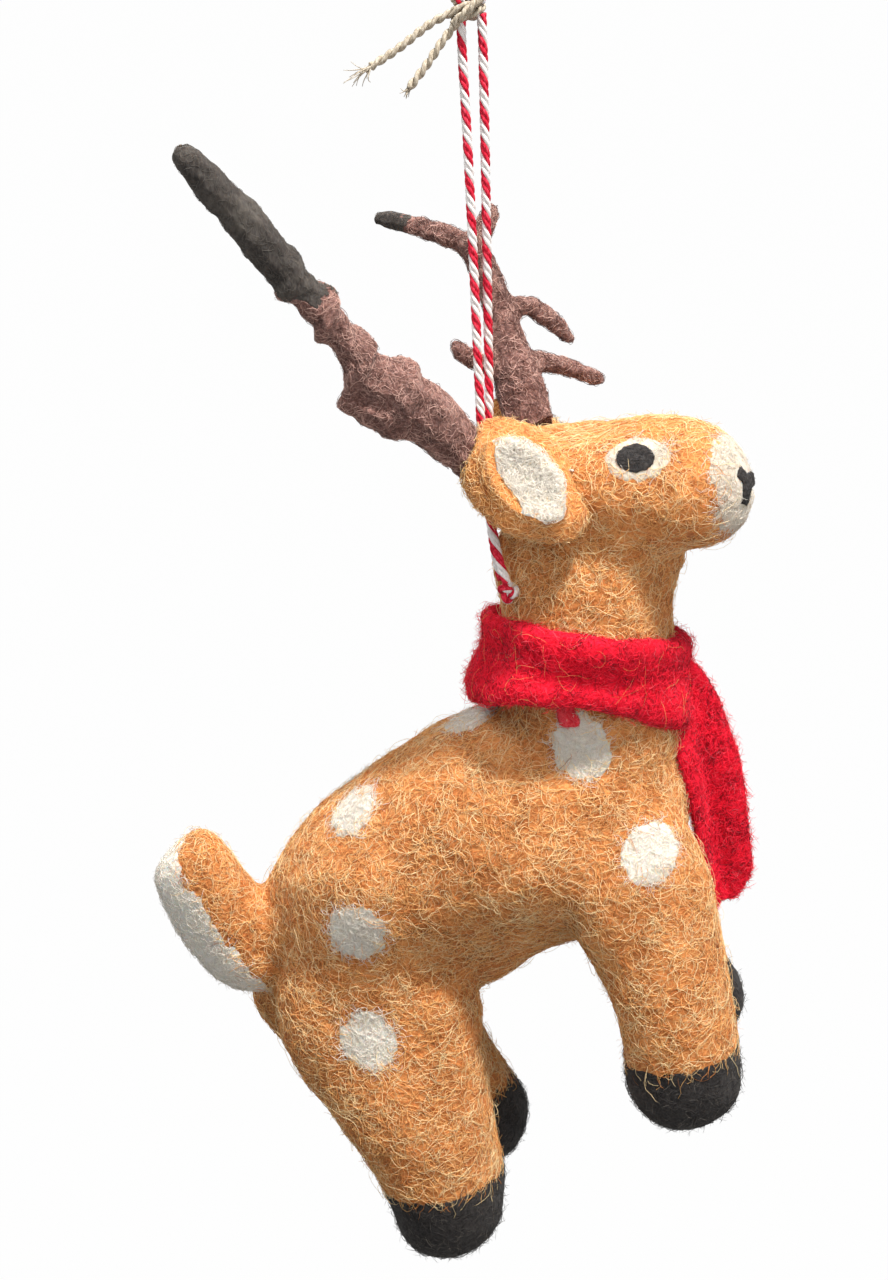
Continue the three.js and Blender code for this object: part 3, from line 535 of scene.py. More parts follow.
def make_cords():
    string_knot()
    tails = [
        string_tail("string_tail_long", LONG_TAIL, 0.8, 16),
        string_tail("string_tail_short", SHORT_TAIL, 0.92, 18),
    ]
    line = spline(LOOP_ROUTE, 160)
    loop = twine_piece("loop_twine", line, TWINE_DIAMETER, "twine_loop")
    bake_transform(loop)
    on_cord = {"right_twine_strand": [nape_knot(), *tails], "left_twine_strand": []}
    for node, route in STRAND_ROUTES.items():
        line = spline(route, 160)
        strand = twine_piece(node + "_plies", line, TWINE_DIAMETER, node)
        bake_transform(strand)


# Wool skins


class Skin:
    """A wool surface as arrays, with the slot of its wool and a tree that finds its nearest point."""

    def __init__(self, points, normals, faces, slot):
        self.points = points
        self.normals = normals
        self.faces = faces
        self.slot = slot
        self.tree = BVHTree.FromPolygons(points.tolist(), faces)


def skin_of(mesh, slot):
    points = np.array([tuple(vert.co) for vert in mesh.vertices])
    normals = np.array([tuple(normal.vector) for normal in mesh.vertex_normals])
    return Skin(points, normals, [tuple(face.vertices) for face in mesh.polygons], slot)


def node_tree_of(node):
    return skin_of(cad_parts[node].data, None).tree


def lump(points, size, height, shift):
    """Gentle unevenness: how far each point moves along its normal."""
    offset = Vector((shift, 2 * shift, 3 * shift))
    return np.array([noise.noise(Vector(point) / size + offset) for point in points.tolist()]) * height


def needle_creases(points, mesh, creases):
    """Smooths a surface inside some round areas, each a centre and a reach in millimetres.

    The smoothing is whole in the inner half of an area and fades towards its reach.
    """
    edges = np.array([tuple(edge.vertices) for edge in mesh.edges])
    weight = np.zeros(len(points))
    for centre, reach in creases:
        weight = np.maximum(weight, ease(2 * nearness(points, centre, reach)))
    edges = edges[weight[edges].max(axis=1) > 0]
    ends = np.concatenate([edges[:, 0], edges[:, 1]])
    others = np.concatenate([edges[:, 1], edges[:, 0]])
    count = np.maximum(np.bincount(ends, minlength=len(points)), 1)
    for _ in range(CREASE_PASSES):
        total = np.stack([np.bincount(ends, points[others, k], len(points)) for k in range(3)], axis=1)
        points = points + (CREASE_STEP * weight)[:, None] * (total / count[:, None] - points)
    return points


def felt_over(name, nodes, material, slot, voxel, passes, lumps, replaces, grow=0.15 * MM, settle=0.0,
              sculpt=None, creases=()):
    """One wool skin over several solids.

    They are grown to close the gaps, remeshed, smoothed, settled, sculpted and made uneven by lumps, each a
    size and a height in millimetres.
    """
    form = bmesh.new()
    for node in nodes:
        form.from_mesh(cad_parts[node].data)
    bmesh.ops.remove_doubles(form, verts=form.verts[:], dist=1e-6)
    form.normal_update()
    for vert in form.verts:
        vert.co += vert.normal * grow
    mesh = bpy.data.meshes.new(name + "_core")
    form.to_mesh(mesh)
    form.free()
    core = bpy.data.objects.new(name + "_core", mesh)
    bpy.context.scene.collection.objects.link(core)
    remesh = core.modifiers.new("felt", "REMESH")
    remesh.mode = "VOXEL"
    remesh.voxel_size = voxel
    needle = core.modifiers.new("needle", "SMOOTH")
    needle.factor = 0.5
    needle.iterations = passes
    bpy.context.view_layer.update()
    felt = bpy.data.meshes.new_from_object(core.evaluated_get(bpy.context.evaluated_depsgraph_get()))
    felt.name = name
    bpy.data.objects.remove(core)
    skin = skin_of(felt, slot)
    moved = skin.points - skin.normals * settle
    if sculpt:
        moved = sculpt(moved)
    if creases:
        moved = needle_creases(moved, felt, creases)
    for shift, (size, height) in enumerate(lumps):
        moved += skin.normals * lump(skin.points, size * MM, height * MM, shift + 1)[:, None]
    felt.vertices.foreach_set("co", moved.ravel())
    felt.update()
    felt.materials.clear()
    obj = dress(felt, material, "ornament", replaces)
    return obj, skin_of(felt, slot)


def renumbered(faces):
    """The corners that some faces use, and the faces with those corners counted from 0."""
    used = sorted({corner for face in faces for corner in face})
    number = {corner: i for i, corner in enumerate(used)}
    return used, [tuple(number[corner] for corner in face) for face in faces]


def near_faces(skin, node):
    """The part of a skin near a solid, its faces cut in four, as points, normals and faces."""
    low, high = (np.array(corner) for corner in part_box(node))
    low, high = low - PATCH_SURROUNDINGS, high + PATCH_SURROUNDINGS
    inside = np.all((skin.points > low) & (skin.points < high), axis=1)
    used, chosen = renumbered([face for face in skin.faces if any(inside[corner] for corner in face)])
    part = bmesh.new()
    verts = [part.verts.new(point) for point in skin.points[used]]
    for face in chosen:
        part.faces.new([verts[corner] for corner in face])
    bmesh.ops.subdivide_edges(part, edges=part.edges[:], cuts=1, use_grid_fill=True)
    inner = [vert for vert in part.verts if not vert.is_boundary]
    bmesh.ops.smooth_vert(part, verts=inner, factor=0.5, use_axis_x=True, use_axis_y=True, use_axis_z=True)
    part.normal_update()
    part.verts.index_update()
    points = np.array([vert.co for vert in part.verts])
    normals = np.array([vert.normal for vert in part.verts])
    faces = [tuple(vert.index for vert in face.verts) for face in part.faces]
    part.free()
    return points, normals, faces


def distances(points, others):
    """How far each point is from the nearest of the others."""
    finder = KDTree(len(others))
    for i, other in enumerate(others):
        finder.insert(other, i)
    finder.balance()
    return np.array([finder.find(point)[2] for point in points])


def footprint(points, normals, tree):
    """How far inside a thin solid's outline each point lies, seen along its normal; negative outside."""
    inside = np.zeros(len(points), bool)
    for i, (point, normal) in enumerate(zip(points, normals)):
        start = Vector(point + normal * PATCH_REACH)
        place, facing = tree.ray_cast(start, Vector(-normal), 2 * PATCH_REACH)[:2]
        inside[i] = place is not None and facing.dot(normal) > 0.2
    depth = -distances(points, points[inside])
    grown = depth > -PATCH_CLOSING
    depth[grown] = distances(points[grown], points[~grown]) - PATCH_CLOSING
    return depth


def share_of(points, tree, others):
    """How far inside a solid's share of the skin each point lies, against the solids beside it."""
    far = np.array([min(other.find_nearest(point)[3] for other in others) for point in points])
    return far - np.array([tree.find_nearest(point)[3] for point in points])


def main_part(faces):
    """The faces of the largest part that hangs together."""
    part = {corner: corner for face in faces for corner in face}

    def root(corner):
        while part[corner] != corner:
            part[corner] = part[part[corner]]
            corner = part[corner]
        return corner

    for face in faces:
        for corner in face[1:]:
            part[root(corner)] = root(face[0])
    parts = {}
    for face in faces:
        parts.setdefault(root(face[0]), []).append(face)
    return max(parts.values(), key=len)


def add_patch(node, skin, material, slot, against=(), lift=PATCH_LIFT, margin=0.3 * MM, rough=0.3 * MM,
              soft=0.45 * MM, slant=(0, 0, 0), shift=(0, 0, 0), ahead=math.inf):
    """A layer of other wool felted onto a skin in a solid's place, sinking in at its soft border.

    The border follows the solid's outline, or runs half way to the solids against it. Margin moves it out,
    also where the skin faces slant, rough makes it uneven, and it stops at the place ahead. Returns the
    layer's middle.
    """
    points, normals, faces = near_faces(skin, node)
    tree = node_tree_of(node)
    points = points - np.array(shift)
    if against:
        depth = share_of(points, tree, [node_tree_of(other) for other in against])
    else:
        depth = footprint(points, normals, tree)
    depth += margin + normals @ np.array(slant)
    depth += lump(points, 1.3 * MM, rough, 5) + lump(points, 0.5 * MM, 0.4 * rough, 6)
    points = points + np.array(shift)
    depth = np.minimum(depth, ahead - points[:, 0])
    inside = [face for face in faces if max(depth[corner] for corner in face) > -soft]
    used, kept = renumbered(main_part(inside))
    points, normals, depth = points[used], normals[used], depth[used]
    height = (lift + PATCH_SINK) * ease((depth + soft) / (2 * soft)) - PATCH_SINK
    outer = points + normals * height[:, None]
    inner = points - normals * PATCH_DEPTH
    count = len(points)
    edges = {(a, b) for face in kept for a, b in zip(face, face[1:] + face[:1])}
    rim = [(b, a, a + count, b + count) for a, b in sorted(edges) if (b, a) not in edges]
    backs = [tuple(corner + count for corner in reversed(face)) for face in kept]
    faces = kept + backs + rim
    add_piece(node + "_felt", np.vstack([outer, inner]), faces, material, slot=slot, replaces=[node])
    middle = [face for face in kept if min(depth[corner] for corner in face) > 0]
    return Skin(outer, normals, middle, slot)


# Fibres

FIBRE_ROOT_DEPTH = 0.04 * MM
TUFT = 2.4 * MM
SMALL_TUFT = 0.9 * MM
FEWEST_FIBRES = 20


def fibre_roots(skin, count):
    """Points spread evenly over a skin."""
    corners = [face[:3] for face in skin.faces]
    corners += [(face[0], *face[2:4]) for face in skin.faces if len(face) > 3]
    a, b, c = (skin.points[np.array(corners)[:, k]] for k in range(3))
    area = np.linalg.norm(np.cross(b - a, c - a), axis=1)
    chosen = random.choice(len(area), count, p=area / area.sum())
    u, v = random.random((2, count, 1))
    over = u + v > 1
    u, v = np.where(over, 1 - u, u), np.where(over, 1 - v, v)
    return a[chosen] + u * (b - a)[chosen] + v * (c - a)[chosen]


def on_skin(tree, points):
    """The nearest places on a skin, and the normals there."""
    found = [tree.find_nearest(point)[:2] for point in points.tolist()]
    return np.array([place for place, _ in found]), np.array([normal for _, normal in found])


def clear_of(points, patches, distance):
    """Which points lie further than distance from every patch."""
    near = np.zeros(len(points), bool)
    for patch in patches:
        low, high = patch.points.min(0) - distance, patch.points.max(0) + distance
        for i in np.flatnonzero(np.all((points > low) & (points < high), axis=1) & ~near):
            near[i] = patch.tree.find_nearest(points[i])[3] < distance
    return ~near


def fibre_paths(skin, roots, length, height, curl, comb, loose):
    """Curly paths that lie on a skin. Each leaves it by up to height, and a loose one ends standing off."""
    points, normals = on_skin(skin.tree, roots)
    count = len(points)
    heading = random.normal(size=(count, 3))
    if comb is not None:
        heading = np.asarray(comb) * random.choice([-1, 1], (count, 1)) + heading * 0.5
    step = random.uniform(*length, count) / (FIBRE_STEPS - 1)
    bend = random.normal(0, curl, count) / FIBRE_STEPS
    crimp = random.uniform(0.1, 0.7, count)
    phase = random.uniform(0, 2 * math.pi, count)
    lift = random.uniform(*height, count)
    paths, tops = [], []
    for i in range(FIBRE_STEPS):
        share = i / (FIBRE_STEPS - 1)
        rise = share**1.4 if loose else math.sin(math.pi * share) ** 0.7
        paths.append(points + normals * (lift * rise - FIBRE_ROOT_DEPTH * (1 - rise))[:, None])
        tops.append(normals)
        heading = unit(heading - normals * (heading * normals).sum(1)[:, None])
        angle = bend + crimp * np.sin(phase + 2.1 * i)
        heading = turned(heading, np.cross(normals, heading), angle)
        points, normals = on_skin(skin.tree, points + heading * step[:, None])
    return np.stack(paths, axis=1), np.stack(tops, axis=1)


def fibre_mesh(paths, tops, radius):
    """Three-sided fibres along paths, pointed at both ends."""
    count = len(paths)
    tangents = unit(np.gradient(paths, axis=1))
    side = unit(np.cross(tangents, tops))
    up = np.cross(side, tangents)
    spokes = turned(side[:, 1:-1, None], up[:, 1:-1, None], 2 * math.pi * np.arange(3) / 3)
    rings = paths[:, 1:-1, None] + spokes * radius * random.uniform(0.7, 1.25, (count, 1, 1, 1))
    points = np.concatenate([paths[:, :1], rings.reshape(count, -1, 3), paths[:, -1:]], axis=1)
    inner = FIBRE_STEPS - 2
    at = 1 + np.arange(inner * 3).reshape(inner, 3)
    after = np.roll(at, -1, axis=1)
    last = 1 + inner * 3
    quads = np.stack([at[:-1], at[1:], after[1:], after[:-1]], axis=-1).reshape(-1, 4)
    first_tip = np.stack([np.zeros(3, int), at[0], after[0]], axis=-1)
    last_tip = np.stack([np.full(3, last), after[-1], at[-1]], axis=-1)
    starts = (np.arange(count) * (last + 1))[:, None, None]
    faces = (quads + starts).reshape(-1, 4).tolist()
    faces += (np.concatenate([first_tip, last_tip]) + starts).reshape(-1, 3).tolist()
    return points.reshape(-1, 3), faces


def in_clumps(points, clump):
    """Which points to keep so that fibres stand in tufts, or between them where clump is negative."""
    tufts = lump(points, TUFT, clump, 8) + lump(points, SMALL_TUFT, 0.6 * clump, 9)
    return tufts > random.uniform(-0.45, 0.35, len(points))


def add_fuzz(name, skins, count, fibre, length=(2.0, 4.2), height=(0.04, 0.3), curl=2.5, comb=None,
             loose=False, radius=0.028, body="ornament", over=None, clear=(), away=0.12, clump=0.0):
    """Fibres rooted in some skins, count in all and clear of some patches, on their skin or over another one.

    Lengths, heights, the radius and the distance kept away from the patches are in millimetres.
    """
    areas = [np.linalg.norm(np.ptp(skin.points, axis=0)) ** 2 for skin in skins]
    sizes = (np.array(length) * MM, np.array(height) * MM)
    parts = []
    for skin, area in zip(skins, areas):
        roots = fibre_roots(skin, max(FEWEST_FIBRES, round(count * area / sum(areas))))
        roots = roots[clear_of(roots, clear, away * MM) & in_clumps(roots, clump)][:FIBRES_PER_PIECE]
        paths = fibre_paths(over or skin, roots, *sizes, curl, comb, loose)
        parts.append(fibre_mesh(*paths, radius * MM))
    return add_piece(name, *joined(parts), FIBRES[fibre], body, skins[0].slot)


# Sculpting


def press(points, centre, reach, move):
    """Pushes a soft round area by a small move. All three are in millimetres."""
    return points + np.array(move) * MM * ease(nearness(points, centre, reach))[:, None]


COAT_PRESSES = [
    ((23, 0, -87.5), 6, (-1.2, 0, 0)),
    ((21.5, 0, -80.5), 5, (1.6, 0, -0.6)),
    ((11, 0, -66), 9, (0, 0, -1.9)),
    ((24, 0, -65.5), 8, (0, 0, 0.7)),
    ((30, 0, -75), 9, (-0.6, 0, 0)),
    ((3.5, -5.5, -85.5), 6, (-1.2, -0.6, 0)),
    ((3, -3, -80), 8, (-2.2, 0, 0)),
    ((3, 0, -72), 9, (-2.4, 0, 1.2)),
    ((-40.5, -3, -117), 7, (1.8, 0, -1.2)),
    ((3, -3, -133), 13, (0, 0, -1.4)),
    ((10, -4, -127), 7, (0, 0, -1.4)),
    ((-3, -5, -136), 8, (1.4, 0, -1.3)),
    ((-12, 0, -158), 26, (2.1, 0, 0)),
    ((-26, -8, -144), 13, (2, 0, 0.4)),
    ((5, 12, -146), 12, (-3.5, 0, 0)),
    ((0, -8, -158), 6, (0.8, 0, 0)),
    ((12, -9, -138), 9, (1.3, 0, 0)),
    ((29, 10, -137), 10, (-3.2, 0, 0)),
]
# The same on both sides: given for the right one
SIDE_PRESSES = [
    ((-15, -17, -138), 15, (0, 2.2, 0)),
    ((-18, -14, -124), 13, (0, -3.2, 0)),
    ((7, -14, -121), 13, (0, -2.4, -0.4)),
    ((13, -9, -86), 12, (0, -2.8, 0)),
    ((18, -8, -82), 7, (0, -1.8, 0)),
]

# Where the wool is needled smooth: under the head, and between the flank and the thigh
COAT_CREASES = [
    ((x, y * side, z), reach) for side in (1, -1) for x, y, z, reach in (
        (5, -9, -82, 8), (12, -10, -82, 9), (19, -8, -83, 8),
        (-27, -12, -127, 8), (-19, -13, -127, 9), (-11, -14, -127, 9), (-4, -12, -128, 7),
    )
]


def sculpt_coat(points):
    moved = points.copy()
    for centre, reach, move in COAT_PRESSES:
        moved = press(moved, centre, reach, move)
    for side in (1, -1):
        for (x, y, z), reach, (along, aside, upwards) in SIDE_PRESSES:
            moved = press(moved, (x, y * side, z), reach, (along, aside * side, upwards))
    return moved


EYE_SHIFT = np.array([-0.35, 0, 0.8]) * MM
LINING_SHIFT = np.array([0.7, 0, 0.5]) * MM
LINING_SETBACK = 2.4 * MM
FEATURE_TOP = 0.5 * MM
FEATURE_DEPTH = 0.4 * MM


def pressed_flat(skin, shift):
    """A sculptor that shifts a small solid and presses it flat on a skin."""
    def sculpt(points):
        points = points + shift
        places, normals = on_skin(skin.tree, points)
        height = ((points - places) * normals).sum(1)
        rise = (height - height.min()) / np.ptp(height)
        return places + normals * (rise * (FEATURE_TOP + FEATURE_DEPTH) - FEATURE_DEPTH)[:, None]
    return sculpt


def sculpt_ear(points):
    """Draws the ear's lower end up a little."""
    low, high = points[:, 2].min(), points[:, 2].max()
    rise = 1.2 * MM * ease((low + 0.5 * (high - low) - points[:, 2]) / (0.5 * (high - low)))
    return points + np.array([0, 0, 1]) * rise[:, None]


def sculpt_left_antler(points):
    """Lowers the tines a little above the antler's foot."""
    return points - np.array([0, 0, 0.55 * MM]) * ease((points[:, 2] + 64 * MM) / (6 * MM))[:, None]


RIGHT_ANTLER = [
    (4.5, -4.4, -71), (-1.5, -5, -68.8), (-5.5, -6.4, -64), (-9.2, -8, -60.4), (-13, -9, -56.7),
    (-14.6, -10, -53), (-17, -11, -49.4), (-21.1, -13, -43), (-24.1, -14, -38.3), (-27.3, -15, -34.2),
    (-30.4, -16, -29.8),
]
ANTLER_TWIST = 6.5 * MM
ANTLER_SNAKE = 0.45 * MM
ANTLER_GROOVE = 0.25 * MM
ANTLER_LOW_SHIFT = np.array([0.5, 0, -0.25]) * MM
ANTLER_HIGH_SHIFT = np.array([-0.2, 0, -0.25]) * MM


def sculpt_right_antler(points):
    """Winds the beam like a twisted cord of two plies, and narrows it towards its tip."""
    line = spline(RIGHT_ANTLER, 160)
    first, second = carried_frames(line)
    nearest = np.array([np.argmin(((line - point) ** 2).sum(1)) for point in points])
    share = nearest / (len(line) - 1)
    turn = 2 * math.pi * share * line_length(line) / ANTLER_TWIST + math.pi
    wound = (ease((share - 0.25) / 0.1) * (1 - 0.85 * ease((share - 0.6) / 0.15)))[:, None]
    sideways = turned(first[nearest], second[nearest], turn)
    spoke = points - line[nearest]
    around = np.arctan2((spoke * second[nearest]).sum(1), (spoke * first[nearest]).sum(1))
    groove = unit(spoke) * np.cos(2 * (around - turn))[:, None] * ANTLER_GROOVE
    slim = (0.06 * ease((share - 0.33) / 0.1) + 0.06 * ease((share - 0.75) / 0.25))[:, None]
    low = (1 - ease((share - 0.35) / 0.2)) * ease(share / 0.15)
    high = ease((share - 0.5) / 0.2)
    shift = np.outer(low, ANTLER_LOW_SHIFT) + np.outer(high, ANTLER_HIGH_SHIFT)
    return points + (sideways * ANTLER_SNAKE + groove) * wound - spoke * slim + shift


# Scarf

PROBE_START = 30 * MM
PROBE_SHARE = 0.46
HUG_BELOW, HUG_ABOVE = 0.4 * MM, 1.0 * MM
HUG_PASSES = 8
# Where each ridge lies across the strip, from -1 to 1, and how wide it is
RIDGES = ((0.66, 0.3), (-0.6, 0.34))


def rounded(across, power):
    """How thick a strip is across its width: 1, and 0 at its edges."""
    return np.sqrt(np.maximum(1 - np.abs(across) ** power, 0))


def closed_rings(back, front):
    """Rings of points round a strip, from those of its two faces, which meet at its edges."""
    return np.concatenate([back, front[:, -2:0:-1]], axis=1)


def strip(line, wide, out, half, relief, thick):
    """A felt strip along a line: half its width at each point, and its relief and half thickness across."""
    wide, out = wide[:, None], out[:, None]
    across = np.linspace(-1, 1, relief.shape[1])
    middle = line[:, None] + wide * np.outer(half, across)[..., None] + out * relief[..., None]
    offset = out * thick[..., None]
    return loft(closed_rings(middle + offset, middle - offset))


def scarf_ring(coat, steps=140, columns=18):
    """The wrap: a thick soft strip round the neck, with a ridge along each edge and a valley between.

    Its lower edge stands off at the nape, where it rests on the shoulders.
    """
    axis = unit(SCARF_AXIS)
    ahead = unit(np.array([1.0, 0, 0]) - axis * axis[0])
    across = np.linspace(-1, 1, columns)
    angles = np.linspace(0, 2 * math.pi, steps, endpoint=False)
    rays = turned(ahead, np.cross(axis, ahead), angles)
    reach = np.empty((steps, columns))
    for i, ray in enumerate(rays):
        for j, share in enumerate(across):
            middle = SCARF_MIDDLE + axis * share * PROBE_SHARE * SCARF_WIDTH
            probe = coat.tree.ray_cast(Vector(middle + ray * PROBE_START), Vector(-ray))
            reach[i, j] = PROBE_START - probe[3]
    level = np.median(reach, axis=1, keepdims=True)
    reach = np.clip(reach, level - HUG_BELOW, level + HUG_ABOVE)
    for _ in range(HUG_PASSES):
        reach = (reach + np.roll(reach, 1, axis=0) + np.roll(reach, -1, axis=0)) / 3
    ridges = SCARF_RIDGE * sum(np.exp(-((across - place) / width) ** 2) for place, width in RIDGES)
    edge = rounded(across, 10)
    low = ease((0.6 - across) / 1.6)
    ways = [Vector((math.cos(angle), math.sin(angle), 0)) for angle in angles]
    wave = np.array([[SCARF_WAVE * noise.noise(way * 2.2 + Vector((0, 0, 4)))] for way in ways])
    swell = np.array([[SCARF_SWELL * noise.noise(way * 3.0 + Vector((0, 0, 9)))] for way in ways])
    turn = np.cos(angles)[:, None]
    behind = SCARF_FLARE * ease((0.35 - turn) / 1.2)
    inner = reach + SCARF_GAP + 0.5 * SCARF_THICKNESS * (1 - edge) + behind * (0.3 + 0.7 * low)
    outer = inner + SCARF_THICKNESS * edge + (ridges + swell) * edge
    taper = 1 - SCARF_TAPER * np.maximum(0, -rays[:, 1:2]) ** 2 + SCARF_DROOP * turn**2
    rise = across * np.where(across < 0, taper, 1) * (SCARF_WIDTH / 2 - 0.2 * MM) + wave
    spine = SCARF_MIDDLE + rise[..., None] * axis
    inside, outside = (spine + reached[..., None] * rays[:, None] for reached in (inner, outer))
    points, faces = loft(closed_rings(inside, outside), endless=True)
    return add_piece("scarf_wrap_felt", points, faces, SCARF, slot="scarf_felt", replaces=["scarf_wrap"])


END_ROUTE = [
    (18.6, -0.5, -95), (19.6, -0.2, -96.4), (20.4, 0.2, -98), (22.1, 0.6, -101.7), (24.2, 0.8, -107),
    (25.2, 0.9, -112), (25.9, 0.9, -118), (26.3, 0.9, -123.5), (26.3, 0.9, -127),
]
END_YAW_FROM, END_YAW_TO = math.radians(26), math.radians(40)
END_FOLD = 1.6 * MM
END_CURL = 0.8 * MM
END_HUG = 2.2 * MM
END_RIPPLE = 0.3 * MM


def scarf_end(steps=80, columns=17):
    """The free end: it turns down out of the wrap and hangs, folded lengthwise, to a rounded tip."""
    line = spline(END_ROUTE, steps)
    share = np.linspace(0, 1, steps)
    across = np.linspace(-1, 1, columns)
    near_tip = np.clip((share - 0.9) / 0.1, 0, 1)
    yaw = END_YAW_FROM + (END_YAW_TO - END_YAW_FROM) * ease(share / 0.35)
    wide = np.stack([np.sin(yaw), np.cos(yaw), np.zeros(steps)], axis=1)
    out = unit(np.cross(wide, unit(np.gradient(line, axis=0))))
    narrow = (1 - 0.12 * share) * (0.5 + 0.5 * ease(share / 0.3))
    half = SCARF_WIDTH / 2 * narrow * np.sqrt(1 - 0.75 * near_tip**2)
    ridge = END_FOLD * np.exp(-((across + 0.05) / 0.4) ** 2) - END_CURL * across**2
    fold = np.outer(ease((share - 0.1) / 0.5) * (1 - 0.6 * near_tip), ridge)
    hug = np.outer(ease((share - 0.1) / 0.3) - 1, END_HUG * across**2)
    ripple = [[END_RIPPLE * noise.noise(Vector((0, 5 * place, 2)))] for place in share]
    thick = np.outer(1 - 0.5 * near_tip, 0.5 * SCARF_THICKNESS * rounded(across, 6))
    points, faces = strip(line, wide, out, half, fold + hug + ripple, thick)
    return add_piece("scarf_end_felt", points, faces, SCARF, None, "scarf_felt", ["scarf_end"])


TUCK_ROUTE = [(7.4, -11.5, -95), (8.0, -11.5, -97), (8.6, -11.5, -98.6), (9.2, -11.5, -100.1)]
TUCK_THICKNESS = 0.3 * MM
TUCK_LIFT = 0.15 * MM


def scarf_tuck(coat, steps=18, columns=9):
    """The tucked corner: a small flap that comes from under the wrap and widens where it lies on the coat."""
    line, normals = on_skin(coat.tree, spline(TUCK_ROUTE, steps))
    wide = unit(np.cross(normals, unit(np.gradient(line, axis=0))))
    share = np.linspace(0, 1, steps)
    near_tip = np.clip((share - 0.85) / 0.15, 0, 1)
    half = (0.5 + 0.9 * share) * np.sqrt(1 - 0.6 * near_tip**2) * MM
    thick = np.outer(1 - 0.4 * share, TUCK_THICKNESS * rounded(np.linspace(-1, 1, columns), 4))
    mesh = strip(line, wide, -normals, half, np.full((steps, columns), -TUCK_LIFT), thick)
    return add_piece("scarf_tuck_felt", *mesh, TUCK, "ornament", "scarf_felt", ["scarf_tucked_corner"])


def scarf_fuzz(part, skins, red, crimson, pink, halo, body="ornament"):
    """Red wool in two tones, with loose pink ends and a halo, each with its count."""
    rows = (
        ("_fuzz_red", red, "red", (1, 2.2), (0.05, 0.35), {"clump": 1}),
        ("_fuzz_crimson", crimson, "crimson", (1, 2.2), (0.03, 0.2), {"clump": -1}),
        ("_fuzz_pink", pink, "pink", (1, 2.2), (0.1, 0.6), {"loose": True, "radius": 0.02}),
        ("_halo", halo, "red", (1.2, 2.8), (0.3, 1.2), {"loose": True, "radius": 0.022}),
    )
    return [add_fuzz(part + name, skins, *row, **more, body=body) for name, *row, more in rows]


# Colours, written as 0 to 255: dark, middle and light tones, and for wool its threads

TWINE_RED = grained_material("twine_red", [(165, 20, 42), (216, 40, 64), (236, 92, 112)], **YARN)
TWINE_WHITE = grained_material("twine_white", [(212, 205, 205), (240, 236, 235), (250, 248, 247)], **YARN)
STRING = grained_material("string", [(140, 128, 112), (178, 166, 148), (214, 206, 192)], **YARN)
# The coat's base tones are darker than its fibres: partly the wool's own tone, partly painted shade in the
# depth under the fibres.
COAT = wool_material("coat_wool", [(150, 86, 42), (192, 120, 64), (222, 150, 86)], (246, 194, 130),
                     comb=(0.5, 1, 1))
WHITE = wool_material("white_wool", [(204, 195, 184), (222, 214, 203), (236, 229, 220)], (244, 239, 231),
                      bump=0.1, glow=0.8)
CREAM = wool_material("cream_wool", [(178, 165, 150), (198, 186, 171), (214, 203, 190)], (226, 217, 205),
                      bump=0.1, glow=0.8)
BLACK = wool_material("black_wool", [(32, 30, 30), (47, 44, 44), (60, 57, 56)], (94, 90, 88),
                      thread_share=0.25, sheen=0.03)
ANTLER = wool_material("antler_wool", [(70, 46, 42), (108, 76, 70), (146, 108, 100)], (200, 160, 148),
                       bump=0.5)
ANTLER_TIP = wool_material("antler_tip_wool", [(52, 48, 46), (70, 65, 62), (88, 83, 78)], (110, 104, 98),
                           comb=(1, 1, 0.5), thread_share=0.25, sheen=0.03)
SCARF = wool_material("scarf_felt", [(172, 4, 28), (216, 10, 40), (238, 26, 58)], (246, 66, 90),
                      thread_share=0.25, sheen=0.02)
TUCK = wool_material("tuck_felt", [(206, 36, 52), (232, 62, 74), (244, 96, 104)], (250, 130, 134),
                     thread_share=0.3, sheen=0.02)
FIBRE_TONES = {
    "pale": (255, 228, 176),
    "gold": (250, 194, 124),
    "orange": (228, 148, 82),
    "brown": (158, 98, 54),
    "white": (245, 239, 229),
    "cream": (226, 216, 202),
    "black": (52, 49, 49),
    "rose": (214, 174, 162),
    "umber": (104, 70, 64),
    "grey": (92, 87, 82),
    "red": (250, 30, 62),
    "crimson": (122, 2, 20),
    "pink": (246, 96, 112),
}
FIBRES = {name: fibre_material(name + "_fibre", tone) for name, tone in FIBRE_TONES.items()}


# The ornament

make_camera()
make_cords()

coat_nodes = ["torso", "neck", "head", "tail_top", *[leg + "_leg" for leg in LEGS]]
tipped_nodes = ["muzzle", "tail_underside", *[leg + "_hoof" for leg in LEGS]]
coat_piece, coat = felt_over(
    "coat_felt", coat_nodes + tipped_nodes, COAT, "coat_wool", voxel=SKIN_VOXEL, passes=60,
    lumps=[(7, 0.25), (2.2, 0.07)], replaces=coat_nodes, settle=0.15 * MM,
    sculpt=sculpt_coat, creases=COAT_CREASES)

